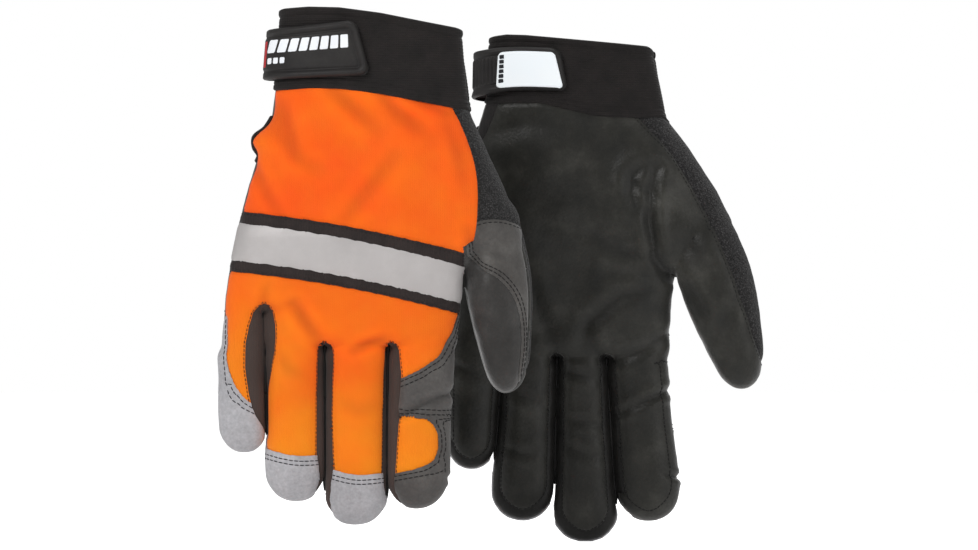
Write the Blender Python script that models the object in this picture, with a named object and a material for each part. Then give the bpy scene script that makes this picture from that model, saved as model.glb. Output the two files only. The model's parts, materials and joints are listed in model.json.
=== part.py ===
"""A pair of hi-vis work gloves, hung side by side with the fingers pointing down.

Frame: metres, +Z up towards the cuffs, +X from the little finger to the thumb, +Y away from the
side where the right glove shows its back. The right glove is in front (-Y) with its back facing -Y.
The left glove is behind (+Y) with its palm facing -Y, and a little further along +X.
Tables below are in millimetres. Across the hand, u runs towards the thumb; v runs towards the palm.
"""

import math

import bmesh
import bpy
import numpy as np
from mathutils import Vector

MM = 0.001

# Cloth, leather and rubber, in millimetres
WALL = 1.8
CUFF_WALL = 2.4
CUFF_PROUD = 0.8
STRAP_WALL = 2.2
HOOK_WALL = 1.0
BAND_WALL = 0.8
TAPE_WALL = 0.5
SEAM = 0.4
HAND_ROUNDNESS = 2.5
DIGIT_ROUNDNESS = 2.3

# Hinges: half gap, place of the axis through the depth of a finger, and opening angles in degrees
HINGE_GAP = 0.5
HINGE_DEPTH = 0.5
KNUCKLE_WEDGE = (41.0, 6.0)
MIDDLE_WEDGE = (48.5, 1.0)
THUMB_WEDGE = (42.0, 18.0)
THUMB_TIP_WEDGE = (31.0, 4.0)
THUMB_GAP = 1.4

# Angles round the hand, in degrees: 0 thumb edge, 90 palm, 180 little-finger edge, 270 back
EDGE = 1.2
BACK_FROM = 181.2
BACK_TO_WRIST = 318.0
BACK_TO_KNUCKLES = 350.0
PALM_FROM_WRIST = 37.0
PALM_FROM_KNUCKLES = -8.8
PALM_TO = 180.0

RIGHT = {
    "name": "right",
    "place": (-67.3, -50.0),
    "palm": 1.0,
    "little_edge": [(88, -62.0), (119, -60.5), (138, -57.1), (163, -51.8), (185, -45.0),
                    (202, -42.6), (218, -37.2), (260, -32.4)],
    "thumb_edge": [(88, 50.5), (119, 54.0), (137.8, 54.7), (150.4, 81.8), (158, 79.0),
                   (185, 69.5), (210, 58.1), (250, 53.4)],
    "half_depth": [(88, 12.2), (120, 15.0), (150, 18.0), (185, 18.5), (210, 17.2), (260, 17.0)],
    "shelf": (137.8, 150.4),
    "cuff": ((216.2, -0.108), (255.6, -0.113)),
    "strap": (238.0, -0.11, 14.2),
    "tab_end": 267.0,
    "band": ((124.1, -0.186), (153.6, -0.183)),
    "tape": ((129.4, -0.188), (147.5, -0.190)),
    "vent": (187.5, 208.5),
    "knuckle_line": 89.0,
    "fingers": {
        "little": (-52.4, -49.6, 11.0, 10.2, 45.8),
        "ring": (-27.0, -25.4, 13.1, 11.2, 22.6),
        "middle": (4.4, 2.6, 13.9, 11.5, 10.5),
        "index": (35.6, 30.6, 13.9, 11.3, 19.7),
    },
    "thumb": {"joint": (69.9, 144.1), "lean": 6.8, "slope": 24.9, "length": 69.7, "half": 14.6},
}

LEFT = {
    "name": "left",
    "place": (40.0, 50.0),
    "palm": -1.0,
    "little_edge": [(82, -61.0), (119, -57.2), (158, -50.6), (185, -45.9), (212, -42.5),
                    (250, -38.0)],
    "thumb_edge": [(82, 51.4), (119, 50.6), (135.0, 50.4), (152.8, 81.6), (174, 71.2),
                   (196.8, 57.4), (209, 46.9), (248, 40.8)],
    "half_depth": [(82, 12.2), (115, 15.0), (150, 18.0), (185, 18.5), (210, 17.2), (250, 17.0)],
    "shelf": (135.0, 152.8),
    "cuff": ((213.3, -0.09), (248.0, -0.09)),
    "strap": (230.6, -0.09, 13.0),
    "tab_end": 267.0,
    "band": ((118.0, -0.186), (147.5, -0.183)),
    "tape": ((123.5, -0.188), (141.5, -0.190)),
    "vent": (184.5, 205.5),
    "knuckle_line": 82.5,
    "fingers": {
        "little": (-49.6, -48.6, 11.2, 10.2, 36.1),
        "ring": (-23.0, -22.8, 12.9, 11.2, 10.9),
        "middle": (5.8, 7.6, 13.6, 11.5, 0.0),
        "index": (35.7, 39.8, 13.9, 11.3, 10.9),
    },
    "thumb": {"joint": (67.7, 143.9), "lean": 17.0, "slope": 29.7, "length": 70.8, "half": 15.2},
}

MIDDLE_JOINT_AT = 0.44
THUMB_TIP_AT = 0.46
THUMB_HALF_DEPTH = 11.0
THUMB_TOWARDS_PALM = 4.5

COLOURS = {
    "orange_knit": ((1.0, 0.144, 0.010), 0.8, 0.0),
    "black_band": ((0.043, 0.028, 0.027), 0.7, 0.0),
    "silver_tape": ((0.49, 0.47, 0.46), 0.35, 0.2),
    "black_leather": ((0.026, 0.026, 0.023), 0.45, 0.0),
    "dark_grey_leather": ((0.08, 0.074, 0.074), 0.45, 0.0),
    "light_grey_leather": ((0.37, 0.37, 0.39), 0.6, 0.0),
    "terry": ((0.026, 0.026, 0.026), 0.95, 0.0),
    "elastic": ((0.019, 0.015, 0.014), 0.85, 0.0),
    "rubber": ((0.027, 0.025, 0.025), 0.5, 0.0),
    "white_panel": ((0.88, 0.95, 1.0), 0.4, 0.0),
    "hook_nylon": ((0.02, 0.02, 0.02), 0.8, 0.0),
}


def clear_scene():
    for obj in list(bpy.data.objects):
        bpy.data.objects.remove(obj, do_unlink=True)


def make_materials():
    materials = {}
    for name, (colour, roughness, metallic) in COLOURS.items():
        material = bpy.data.materials.new(name)
        material.use_nodes = True
        shader = material.node_tree.nodes["Principled BSDF"]
        shader.inputs["Base Color"].default_value = (*colour, 1.0)
        shader.inputs["Roughness"].default_value = roughness
        shader.inputs["Metallic"].default_value = metallic
        materials[name] = material
    return materials


def read_table(table, at):
    places, values = zip(*table)
    return float(np.interp(at, places, values))


def rounded(cosine, roundness):
    """One coordinate of a superellipse of unit size."""
    return math.copysign(abs(cosine) ** (2 / roundness), cosine)


def to_world(glove, u, v, z):
    across, deep = glove["place"]
    return Vector((across + u, deep + glove["palm"] * v, z)) * MM


def wedge(angles, half_gap, v, axis_v):
    """How far a hinged end is cut back at depth v, so that it can close round the axis."""
    palm_slope, back_slope = (math.tan(math.radians(a)) for a in angles)
    return half_gap + max((v - axis_v) * palm_slope, (axis_v - v) * back_slope)


def hand_section(glove, z, angle, inset):
    """A point of the hand at one height: u and v, moved inwards by inset."""
    low = read_table(glove["little_edge"], z)
    high = read_table(glove["thumb_edge"], z)
    depth = read_table(glove["half_depth"], z)
    turn = math.radians(angle)
    u = (low + high) / 2 + ((high - low) / 2 - inset) * rounded(math.cos(turn), HAND_ROUNDNESS)
    v = (depth - inset) * rounded(math.sin(turn), HAND_ROUNDNESS)
    return u, v


def hand_point(glove, level, edges, share, inset):
    """The point where a level meets the hand, at a share of the way between two edge angles."""
    z = level(0.0, 0.0)
    for _ in range(12):
        start, stop = (edge(z) for edge in edges)
        u, v = hand_section(glove, z, start + (stop - start) * share, inset)
        z = level(u, v)
    return to_world(glove, u, v, z)


def flat_level(z, slope=0.0):
    return lambda u, v: z + slope * u


def between(low, high, share):
    return lambda u, v: low(u, v) + (high(u, v) - low(u, v)) * share


def levels_between(low, high, steps):
    return [between(low, high, i / steps) for i in range(steps + 1)]


def fixed(angle):
    return lambda z: angle


def stepped(glove, knuckle_angle, wrist_angle):
    """An edge angle that changes where the thumb leaves the hand."""
    return lambda z: float(np.interp(z, glove["shelf"], (knuckle_angle, wrist_angle)))


def shell(name, outer, inner, closed):
    """A closed solid between two grids of points; closed grids run all the way round."""
    grid = bmesh.new()
    skins = [[[grid.verts.new(p) for p in row] for row in skin] for skin in (outer, inner)]
    rows, columns = len(outer), len(outer[0])
    spans = [(j, (j + 1) % columns) for j in range(columns if closed else columns - 1)]
    for skin in skins:
        for i in range(rows - 1):
            for j, k in spans:
                grid.faces.new((skin[i][j], skin[i][k], skin[i + 1][k], skin[i + 1][j]))
    for i in (0, rows - 1):
        for j, k in spans:
            grid.faces.new((skins[0][i][j], skins[0][i][k], skins[1][i][k], skins[1][i][j]))
    if not closed:
        for j in (0, columns - 1):
            for i in range(rows - 1):
                grid.faces.new((skins[0][i][j], skins[0][i + 1][j],
                                skins[1][i + 1][j], skins[1][i][j]))
    bmesh.ops.triangulate(grid, faces=grid.faces)
    bmesh.ops.recalc_face_normals(grid, faces=grid.faces)
    mesh = bpy.data.meshes.new(name)
    grid.to_mesh(mesh)
    grid.free()
    return mesh


def add_joint(name, place, parent=None):
    """An empty on a joint's axis, which carries the pieces that move with the joint."""
    empty = bpy.data.objects.new(name, None)
    empty.empty_display_size = 0.01
    empty["place"] = tuple(place)
    if parent:
        empty.parent = parent
        empty.location = Vector(place) - Vector(parent["place"])
    else:
        empty.location = place
    bpy.context.collection.objects.link(empty)
    return empty


def add_piece(name, mesh, material, joint):
    """An object on a joint's empty; its mesh is given in world places."""
    place = Vector(joint["place"])
    for vertex in mesh.vertices:
        vertex.co -= place
    mesh.materials.append(material)
    mesh.shade_smooth()
    mesh.set_sharp_from_angle(angle=math.radians(50))
    piece = bpy.data.objects.new(name, mesh)
    piece.parent = joint
    bpy.context.collection.objects.link(piece)
    return piece


def hand_piece(glove, joint, name, material, levels, edges, insets, columns, closed=False):
    """A panel of the hand or cuff, between two insets from the hand's outer surface."""
    count = columns if closed else columns + 1
    skins = [[[hand_point(glove, level, edges, j / columns, inset) for j in range(count)]
              for level in levels] for inset in insets]
    name = f"{glove['name']}_{name}"
    return add_piece(name, shell(name, *skins, closed), material, joint)


def knuckle_level(glove):
    """The lower end of the hand, cut back round the knuckle hinges."""
    axis_v = HINGE_DEPTH * glove["fingers"]["middle"][3]
    return lambda u, v: glove["knuckle_line"] + wedge(KNUCKLE_WEDGE, HINGE_GAP, v, axis_v)


def add_hand(glove, joint, materials):
    shelf_low, shelf_high = glove["shelf"]
    cuff_low = flat_level(*glove["cuff"][0])
    cuff_high = flat_level(*glove["cuff"][1])
    below_cuff = flat_level(glove["cuff"][0][0] - SEAM, glove["cuff"][0][1])
    knuckles = knuckle_level(glove)
    wrist_rows = [flat_level(shelf_high + rise) for rise in (10, 22, 36, 48)] + [below_cuff]
    shelf_rows = levels_between(flat_level(shelf_low), flat_level(shelf_high), 4)
    hand_rows = levels_between(knuckles, flat_level(shelf_low), 3)[:-1] + shelf_rows + wrist_rows
    back_edge = stepped(glove, BACK_TO_KNUCKLES, BACK_TO_WRIST)
    palm_edge = stepped(glove, PALM_FROM_KNUCKLES, PALM_FROM_WRIST)
    skin = (0.0, WALL)
    hand_piece(glove, joint, "back_panel", materials["orange_knit"], hand_rows,
               (fixed(BACK_FROM), back_edge), skin, 16)
    hand_piece(glove, joint, "palm_panel", materials["black_leather"], hand_rows,
               (palm_edge, fixed(PALM_TO)), skin, 16)
    hand_piece(glove, joint, "terry_panel", materials["terry"], [flat_level(shelf_high)] + wrist_rows,
               (fixed(BACK_TO_WRIST + EDGE), fixed(PALM_FROM_WRIST + 360 - EDGE)), skin, 8)
    hand_piece(glove, joint, "cuff_band", materials["elastic"],
               levels_between(cuff_low, cuff_high, 2), (fixed(0), fixed(360)),
               (-CUFF_PROUD, CUFF_WALL - CUFF_PROUD), 24, closed=True)
    add_bands(glove, joint, materials)


def add_bands(glove, joint, materials):
    """The black band, the silver tape sewn on it, and the bound edge of the vent."""
    band_low, band_high = (flat_level(*line) for line in glove["band"])
    tape_low, tape_high = (flat_level(*line) for line in glove["tape"])
    band_base = -0.7
    band_top = band_base - BAND_WALL
    tape_base = band_top - 0.8
    for name, material, low, high, inner, outer, margin in (
        ("tape_backing", "black_band", band_low, band_high, band_base, band_top, 5.0),
        ("reflective_tape", "silver_tape", tape_low, tape_high, tape_base, tape_base - TAPE_WALL, 6.0),
    ):
        end = stepped(glove, BACK_TO_KNUCKLES - margin, BACK_TO_WRIST - margin)
        hand_piece(glove, joint, name, materials[material], levels_between(low, high, 5),
                   (fixed(BACK_FROM + margin), end), (outer, inner), 20)
    vent_low, vent_high = glove["vent"]
    hand_piece(glove, joint, "vent_binding", materials["black_band"],
               levels_between(flat_level(vent_low), flat_level(vent_high), 3),
               (fixed(184.0), fixed(199.0)), (-2.2, -0.5), 3)


def strap_hinge(glove):
    """The place of the strap's hinge: the outer face of the strap at the little-finger edge."""
    middle, slope, _ = glove["strap"]
    outer = -CUFF_PROUD - 2 * SEAM - HOOK_WALL - STRAP_WALL
    return hand_point(glove, flat_level(middle, slope), (fixed(183.0), fixed(183.0)), 0, outer)


def add_strap(glove, hand_joint, strap_joint, materials):
    """The moulded strap: a fixed half with a name panel, and a tab with a hook pad under it."""
    middle, slope, half = glove["strap"]

    def rows(margin, steps):
        return levels_between(flat_level(middle - half + margin, slope),
                              flat_level(middle + half - margin, slope), steps)

    hook_inner = -CUFF_PROUD - SEAM
    hook_outer = hook_inner - HOOK_WALL
    tab_inner = hook_outer - SEAM
    tab_outer = tab_inner - STRAP_WALL
    hand_piece(glove, hand_joint, "strap_anchor", materials["rubber"], rows(0, 2),
               (fixed(93.0), fixed(181.6)), (tab_outer, hook_inner), 12)
    hand_piece(glove, hand_joint, "id_panel", materials["white_panel"], rows(3.5, 2),
               (fixed(99.0), fixed(150.0)), (tab_outer - SEAM - 0.8, tab_outer - SEAM), 8)
    hand_piece(glove, strap_joint, "strap_tab", materials["rubber"], rows(0, 2),
               (fixed(184.4), fixed(glove["tab_end"])), (tab_outer, tab_inner), 12)
    hand_piece(glove, strap_joint, "hook_pad", materials["hook_nylon"], rows(2.5, 2),
               (fixed(205.0), fixed(glove["tab_end"] - 2.0)), (hook_outer, hook_inner), 10)


class Digit:
    """A finger or thumb: a tapered tube with a rounded tip, cut in two at its middle joint."""

    def __init__(self, glove, joint, along, across, half_width, half_depth, length, shift, taper):
        self.glove = glove
        self.joint = Vector(joint)
        self.along = Vector(along)
        self.across = Vector(across)
        self.half_width = half_width
        self.half_depth = half_depth
        self.length = length
        self.shift = shift
        self.taper = taper
        normal = Vector((self.across.y, -self.across.x))
        self.gain = self.along.dot(normal)
        self.round_from = length - 1.15 * half_width
        self.axis_v = shift + HINGE_DEPTH * half_depth

    def size_at(self, t):
        return read_table(self.taper, t / self.length)

    def section(self, t, angle, inset):
        """u, v and z at a distance t below the joint."""
        end = self.length - self.round_from
        cap = 1.0
        if t > self.round_from:
            share = min((t - self.round_from) / end, 1.0)
            cap = (1 - share ** 2.4) ** (1 / 2.4)
            t = self.round_from + share * (end - inset)
        turn = math.radians(angle)
        size = self.size_at(t)
        wide = (self.half_width * size - inset) * cap * rounded(math.cos(turn), DIGIT_ROUNDNESS)
        deep = (self.half_depth * size - inset) * cap * rounded(math.sin(turn), DIGIT_ROUNDNESS)
        centre = self.joint + self.along * t + self.across * wide
        return centre.x, self.shift + deep, centre.y

    def point(self, level, angle, inset):
        v = self.shift
        for _ in range(4):
            u, v, z = self.section(level(v), angle, inset)
        return to_world(self.glove, u, v, z)

    def cut(self, at, angles, half_gap, side):
        """A hinged end at distance at; side is 1 for the piece below it and -1 for the one above."""
        return lambda v: at + side * wedge(angles, half_gap, v, self.axis_v) / self.gain

    def piece(self, joint, name, material, ends, shares, angles, columns, closed=False):
        top, bottom = ends
        rows = [lambda v, s=s: top(v) + (bottom(v) - top(v)) * s for s in shares]
        start, stop = angles
        count = columns if closed else columns + 1
        skins = [[[self.point(row, start + (stop - start) * j / columns, inset)
                   for j in range(count)] for row in rows] for inset in (0.0, WALL)]
        name = f"{self.glove['name']}_{name}"
        return add_piece(name, shell(name, *skins, closed), material, joint)

    def hinge(self, at):
        centre = self.joint + self.along * at
        return to_world(self.glove, centre.x, self.axis_v, centre.y)


TUBE_SHARES = [i / 3 for i in range(4)]
TIP_SHARES = [math.sin(math.radians(a)) for a in (0, 18, 36, 52, 66, 80)]
BACK_HALF = (180 + EDGE, 360 - EDGE)
PALM_HALF = (EDGE, 180 - EDGE)
TIP_END = 0.9998
FINGER_TAPER = [(0.0, 1.0), (0.5, 0.98), (1.0, 0.88)]
THUMB_TAPER = [(0.0, 0.92), (0.3, 1.0), (0.6, 0.93), (1.0, 0.70)]


def add_finger(glove, name, hand_joint, materials):
    root_u, tip_u, half_width, half_depth, tip_z = glove["fingers"][name]
    length = glove["knuckle_line"] - tip_z
    along = ((tip_u - root_u) / length, -1.0)
    finger = Digit(glove, (root_u, glove["knuckle_line"]), along, (1.0, 0.0),
                   half_width, half_depth, length, 0.0, FINGER_TAPER)
    finger.axis_v = HINGE_DEPTH * glove["fingers"]["middle"][3]
    middle_at = MIDDLE_JOINT_AT * length
    side = glove["name"]
    base = add_joint(f"{side}_{name}_knuckle", finger.hinge(0.0), hand_joint)
    tip = add_joint(f"{side}_{name}_middle_joint", finger.hinge(middle_at), base)
    base_ends = (finger.cut(0.0, KNUCKLE_WEDGE, HINGE_GAP, 1),
                 finger.cut(middle_at, MIDDLE_WEDGE, HINGE_GAP, -1))
    tip_ends = (finger.cut(middle_at, MIDDLE_WEDGE, HINGE_GAP, 1), lambda v: TIP_END * length)
    back, cap = materials["orange_knit"], materials["light_grey_leather"]
    if name == "index":
        cap = materials["dark_grey_leather"]
    palm = materials["black_leather"]
    finger.piece(base, f"{name}_base_back", back, base_ends, TUBE_SHARES, BACK_HALF, 6)
    finger.piece(base, f"{name}_base_palm", palm, base_ends, TUBE_SHARES, PALM_HALF, 6)
    finger.piece(tip, f"{name}_tip_back", cap, tip_ends, TIP_SHARES, BACK_HALF, 6)
    finger.piece(tip, f"{name}_tip_palm", palm, tip_ends, TIP_SHARES, PALM_HALF, 6)


def add_thumb(glove, hand_joint, materials):
    thumb = glove["thumb"]
    lean, slope = math.radians(thumb["lean"]), math.radians(thumb["slope"])
    digit = Digit(glove, thumb["joint"], (math.sin(lean), -math.cos(lean)),
                  (math.cos(slope), math.sin(slope)), thumb["half"], THUMB_HALF_DEPTH,
                  thumb["length"], THUMB_TOWARDS_PALM, THUMB_TAPER)
    tip_at = THUMB_TIP_AT * thumb["length"]
    side = glove["name"]
    base = add_joint(f"{side}_thumb_knuckle", digit.hinge(0.0), hand_joint)
    tip = add_joint(f"{side}_thumb_middle_joint", digit.hinge(tip_at), base)
    base_ends = (digit.cut(0.0, THUMB_WEDGE, THUMB_GAP, 1),
                 digit.cut(tip_at, THUMB_TIP_WEDGE, HINGE_GAP, -1))
    tip_ends = (digit.cut(tip_at, THUMB_TIP_WEDGE, HINGE_GAP, 1),
                lambda v: TIP_END * thumb["length"])
    back, palm = materials["dark_grey_leather"], materials["black_leather"]
    digit.piece(base, "thumb_base_back", back, base_ends, TUBE_SHARES, BACK_HALF, 6)
    digit.piece(base, "thumb_base_palm", palm, base_ends, TUBE_SHARES, PALM_HALF, 6)
    digit.piece(tip, "thumb_tip", palm, tip_ends, TIP_SHARES, (0, 360), 12, closed=True)


def add_glove(glove, materials, parent=None):
    wrist = to_world(glove, 0.0, 0.0, glove["cuff"][0][0])
    hand_joint = add_joint(f"{glove['name']}_wrist", wrist, parent)
    strap_joint = add_joint(f"{glove['name']}_strap_hinge", strap_hinge(glove), hand_joint)
    add_hand(glove, hand_joint, materials)
    add_strap(glove, hand_joint, strap_joint, materials)
    for name in glove["fingers"]:
        add_finger(glove, name, hand_joint, materials)
    add_thumb(glove, hand_joint, materials)
    return hand_joint


def centre_on_origin(root):
    """Moves the pair so that its box is centred on the origin and stands on z = 0."""
    bpy.context.view_layer.update()
    places = [piece.matrix_world @ vertex.co for piece in bpy.data.objects if piece.type == "MESH"
              for vertex in piece.data.vertices]
    low, high = (Vector(pick(p[i] for p in places) for i in range(3)) for pick in (min, max))
    middle = (low + high) / 2
    root.location -= Vector((middle.x, middle.y, low.z))


def build():
    clear_scene()
    materials = make_materials()
    right_wrist = add_glove(RIGHT, materials)
    add_glove(LEFT, materials, right_wrist)
    centre_on_origin(right_wrist)


build()
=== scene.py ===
"""Looks of a pair of hi-vis work gloves: stretch-knit back, leather palm, moulded wrist strap.

Shapes are worked out in millimetres in each glove's own axes: u runs across the hand towards the
thumb, v towards the palm, z up towards the cuff. Glove.to_world() places them on the CAD frame.
"""

import json
import math

import bmesh
import bpy
import numpy as np
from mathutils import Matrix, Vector
from mathutils.bvhtree import BVHTree
from mathutils.kdtree import KDTree


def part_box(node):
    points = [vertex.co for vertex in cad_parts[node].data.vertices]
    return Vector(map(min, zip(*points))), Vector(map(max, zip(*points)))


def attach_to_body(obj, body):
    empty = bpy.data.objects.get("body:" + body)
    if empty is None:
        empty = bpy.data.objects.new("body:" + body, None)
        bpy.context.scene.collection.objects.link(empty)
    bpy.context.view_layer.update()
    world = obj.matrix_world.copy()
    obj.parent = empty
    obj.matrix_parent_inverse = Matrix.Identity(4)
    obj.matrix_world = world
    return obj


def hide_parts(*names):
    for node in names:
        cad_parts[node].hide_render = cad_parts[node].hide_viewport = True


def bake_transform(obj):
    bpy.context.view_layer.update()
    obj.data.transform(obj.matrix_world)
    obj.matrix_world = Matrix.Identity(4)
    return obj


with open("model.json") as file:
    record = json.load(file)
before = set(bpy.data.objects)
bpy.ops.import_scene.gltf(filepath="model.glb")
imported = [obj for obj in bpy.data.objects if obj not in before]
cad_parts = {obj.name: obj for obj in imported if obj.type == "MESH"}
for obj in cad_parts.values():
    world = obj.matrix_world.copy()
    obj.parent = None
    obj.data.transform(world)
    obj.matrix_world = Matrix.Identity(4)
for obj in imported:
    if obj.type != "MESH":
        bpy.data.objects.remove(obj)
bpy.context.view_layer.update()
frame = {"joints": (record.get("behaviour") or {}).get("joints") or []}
JOINTS = {joint["name"]: joint for joint in frame["joints"]}

MM = 0.001
FINGERS = ("little", "ring", "middle", "index")

# How each glove lies in its own axes, in millimetres and degrees:
#   middle_u, knuckle_z      where the middle finger's knuckle joint is
#   little_edge, thumb_edge  the two sides of the hand's outline, as (height, u)
#   half_depth               half the hand's thickness, as (height, v)
#   cuff                     its lower and upper edge, each as (height at u = 0, slope)
#   cuff_rise, palm_rise     how far its lower edge rises on the back and on the palm, as (u, rise)
#   top_drop                 how far its upper edge drops, as (u, drop)
#   strap_path               (length round the wrist, height of the middle, half width)
#   band, tape, bow          edges of the bands across the back, as cuff, and how far they bow
#   vent                     height of the bound slit at the little-finger edge
#   back_terry               where the terry starts on the back, as (height, u)
#   fingers                  centre at root and tip, half width at root and tip, half depth, height of the tip
#   slot_tops, web_ends      top of each gap between fingers, and the lower end of its web
#   fold                     how far the strap stands out where it folds
#   thumb                    lean of its axis, slope of its joint line, length, half width
RIGHT = {
    "name": "right", "palm": 1.0, "middle_u": 4.4, "knuckle_z": 89.0,
    "little_edge": [(88, -62.4), (104, -61.8), (119, -60.6), (138, -57.6), (163, -51.8), (185, -45.8),
                    (196, -42.0), (207, -37.8), (218, -36.4), (262, -32.8)],
    "thumb_edge": [(88, 51.0), (119, 53.6), (135.0, 53.8), (152.0, 79.5), (160, 78.6),
                   (172, 74.5), (185, 69.0), (210, 57.6), (262, 51.2)],
    "half_depth": [(88, 12.0), (120, 15.0), (150, 18.0), (185, 18.0), (210, 16.2), (262, 15.6)],
    "cuff": ((216.2, -0.108), (255.6, -0.113)),
    "cuff_rise": [(-40, 0.0), (-30, 1.6), (-20, 3.4), (-5, 4.7), (15, 4.3), (35, 2.6), (58, 0.8)],
    "palm_rise": [(-40, 0.5), (-15, 3.0), (-5, 2.4), (10, 0.8), (25, 0.0)],
    "top_drop": [(-41, 0.0), (41, 0.0)],
    "strap_path": [(-50, 237.0, 11.2), (0, 238.1, 12.3), (50, 241.5, 13.4)],
    "band": ((124.1, -0.186), (153.6, -0.183)),
    "tape": ((129.4, -0.188), (147.5, -0.190)),
    "bow": 2.6,
    "vent": 194.5,
    "back_terry": [(100, 56.0), (114, 55.5), (130, 57.0), (142.6, 59.5), (157, 61.5), (172, 62.0),
                   (184.7, 60.6), (198, 56.6), (211, 50.6), (225, 43.0)],
    "fingers": {"little": (-52.6, -51.6, 11.6, 11.6, 10.4, 45.4),
                "ring": (-26.7, -26.0, 14.5, 14.5, 11.4, 21.8),
                "middle": (2.9, 3.0, 15.1, 15.4, 11.8, 10.5),
                "index": (34.4, 32.0, 15.8, 15.4, 11.5, 18.4)},
    "slot_tops": (117.0, 98.4, 98.6),
    "web_ends": (54.0, 27.0, 23.0),
    "fold": 2.4,
    "thumb": {"lean": 6.8, "slope": 24.9, "length": 69.7, "half": 15.6},
}
LEFT = {
    "name": "left", "palm": -1.0, "middle_u": 5.8, "knuckle_z": 82.5,
    "little_edge": [(82, -61.4), (119, -57.6), (158, -51.0), (185, -46.8), (203, -45.6), (212, -42.6),
                    (222, -39.8), (244, -39.4), (252, -37.6)],
    "thumb_edge": [(82, 48.6), (119, 49.8), (130.0, 50.4), (152.8, 80.6), (160, 78.4),
                   (174, 71.4), (197, 56.6), (209, 46.8), (252, 38.6)],
    "half_depth": [(82, 12.0), (115, 15.0), (150, 18.0), (185, 18.0), (210, 16.2), (252, 15.6)],
    "cuff": ((213.3, -0.09), (248.0, -0.09)),
    "cuff_rise": [(-40, 0.0), (-5, 0.6), (28, 0.0), (34, -1.2), (42, -4.5)],
    "palm_rise": [(-40, -1.2), (-15, 1.2), (-5, -0.2), (10, -2.2), (20, -2.2), (35, -1.2), (45, 0.0)],
    "top_drop": [(-41, 3.2), (-36, 1.6), (-31, 0.5), (-22, 0.0)],
    "strap_path": [(-50, 232.6, 10.6), (-14, 232.8, 11.0), (0, 230.0, 11.6), (20, 229.0, 12.2),
                   (50, 232.0, 12.8)],
    "band": ((118.0, -0.186), (147.5, -0.183)),
    "tape": ((123.5, -0.188), (141.5, -0.190)),
    "bow": 2.6,
    "vent": 191.0,
    "back_terry": [(100, 54.0), (114, 53.0), (130, 54.5), (142.6, 58.0), (157, 60.0), (172, 59.5),
                   (184.7, 55.5), (198, 48.5), (211, 40.0), (225, 31.0)],
    "fingers": {"little": (-47.7, -48.9, 13.7, 12.0, 10.4, 35.4),
                "ring": (-20.2, -24.2, 13.8, 15.9, 11.4, 10.2),
                "middle": (6.0, 8.2, 12.5, 15.9, 11.8, -0.4),
                "index": (33.5, 39.6, 15.0, 16.5, 11.5, 9.8)},
    "slot_tops": (104.0, 92.2, 92.4),
    "web_ends": (40.0, 28.0, 18.0),
    "fold": 4.0,
    "thumb": {"lean": 17.0, "slope": 29.7, "length": 70.8, "half": 17.2},
}

# Powers of the superellipse sections: 2 is an ellipse, and more is squarer
HAND_ROUNDNESS = 2.6
DIGIT_ROUNDNESS = 2.25
TIP_ROUNDNESS = 2.25
GUSSET_ROUNDNESS = 2.2

# The skin's voxels and smoothing, and the gaps between fingers before and after they are widened
VOXEL = 1.5
SMOOTH_FACTOR, SMOOTH_STEPS = 0.5, 10
REMESH_GAP = 3.5
FINGER_GAP = -0.5

# Where the middle joints are, as shares of a finger and of the thumb, and how far the cloth bends round
# each joint
MIDDLE_JOINT_AT = 0.44
THUMB_TIP_AT = 0.46
FINGER_REACH = 8.5
THUMB_REACH = (7.0, 9.0)

# The thumb's half depth, how far it sits towards the palm, and how far its palm leather wraps round
THUMB_DEPTH = 12.0
THUMB_SHIFT = 4.5
THUMB_WRAP = 6.0

# How thick the cloth is, and how far it runs up inside the cuff
CLOTH_WALL = 1.2
CUFF_TUCK = 9.0

# Where the tables below start, above a digit's root, and how wide the digits are along their length, as
# (share of the length, share of the half width)
ROOT_SHARE = -0.6
FINGER_SWELL = [(-0.6, 1.0), (0.0, 1.0), (0.18, 0.97), (0.45, 0.99), (0.75, 1.0), (1.0, 0.9)]
THUMB_SWELL = [(-0.6, 0.7), (-0.25, 0.86), (0.0, 0.98), (0.25, 1.06), (0.5, 0.97), (0.75, 0.79), (1.0, 0.56)]
# The line between thumb and hand: how far past the web, past the index finger, and up to what height
WEB_MARGIN, INDEX_MARGIN, WEB_ABOVE = 1.2, 2.5, 6
# The bands' bow: its middle, its half width, and the share of it that is taken off again
BOW_MIDDLE, BOW_HALF, BOW_DROP = -2, 58, 0.6


def step_up(value, start, width):
    """0 up to start, 1 past start + width, and a straight line between them."""
    return np.clip((value - start) / width, 0, 1)


def step_down(value, stop, width):
    """1 up to stop - width, 0 past stop, and a straight line between them."""
    return np.clip((stop - value) / width, 0, 1)


def bell(value, width, power=2):
    """1 at zero, falling off smoothly over a width on both sides."""
    return np.exp(-(value / width) ** power)


def quarter_round(share):
    """How high a rounded edge is: 0 at its foot, 1 where it levels out."""
    return np.sqrt(np.clip(1 - (1 - np.clip(share, 0, 1)) ** 2, 0, 1))


def unit(vectors, least=1e-9):
    """Vectors brought to length 1."""
    return vectors / np.maximum(np.linalg.norm(vectors, axis=-1, keepdims=True), least)


def table_end(points):
    """The last place a table covers."""
    return points[-1][0]


def table(points, at):
    """Values read off straight lines through a few points."""
    places, values = zip(*points)
    return np.interp(at, places, values)


def smooth_table(points, at):
    """A smooth curve through a few points: cubic Hermite with Catmull-Rom slopes."""
    x, y = (np.array(c, float) for c in zip(*points))
    slope = np.gradient(y, x)
    at = np.clip(np.asarray(at, float), x[0], x[-1])
    i = np.clip(np.searchsorted(x, at) - 1, 0, len(x) - 2)
    width = x[i + 1] - x[i]
    t = (at - x[i]) / width
    return ((2 * t**3 - 3 * t**2 + 1) * y[i] + (t**3 - 2 * t**2 + t) * width * slope[i]
            + (3 * t**2 - 2 * t**3) * y[i + 1] + (t**3 - t**2) * width * slope[i + 1])


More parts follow.
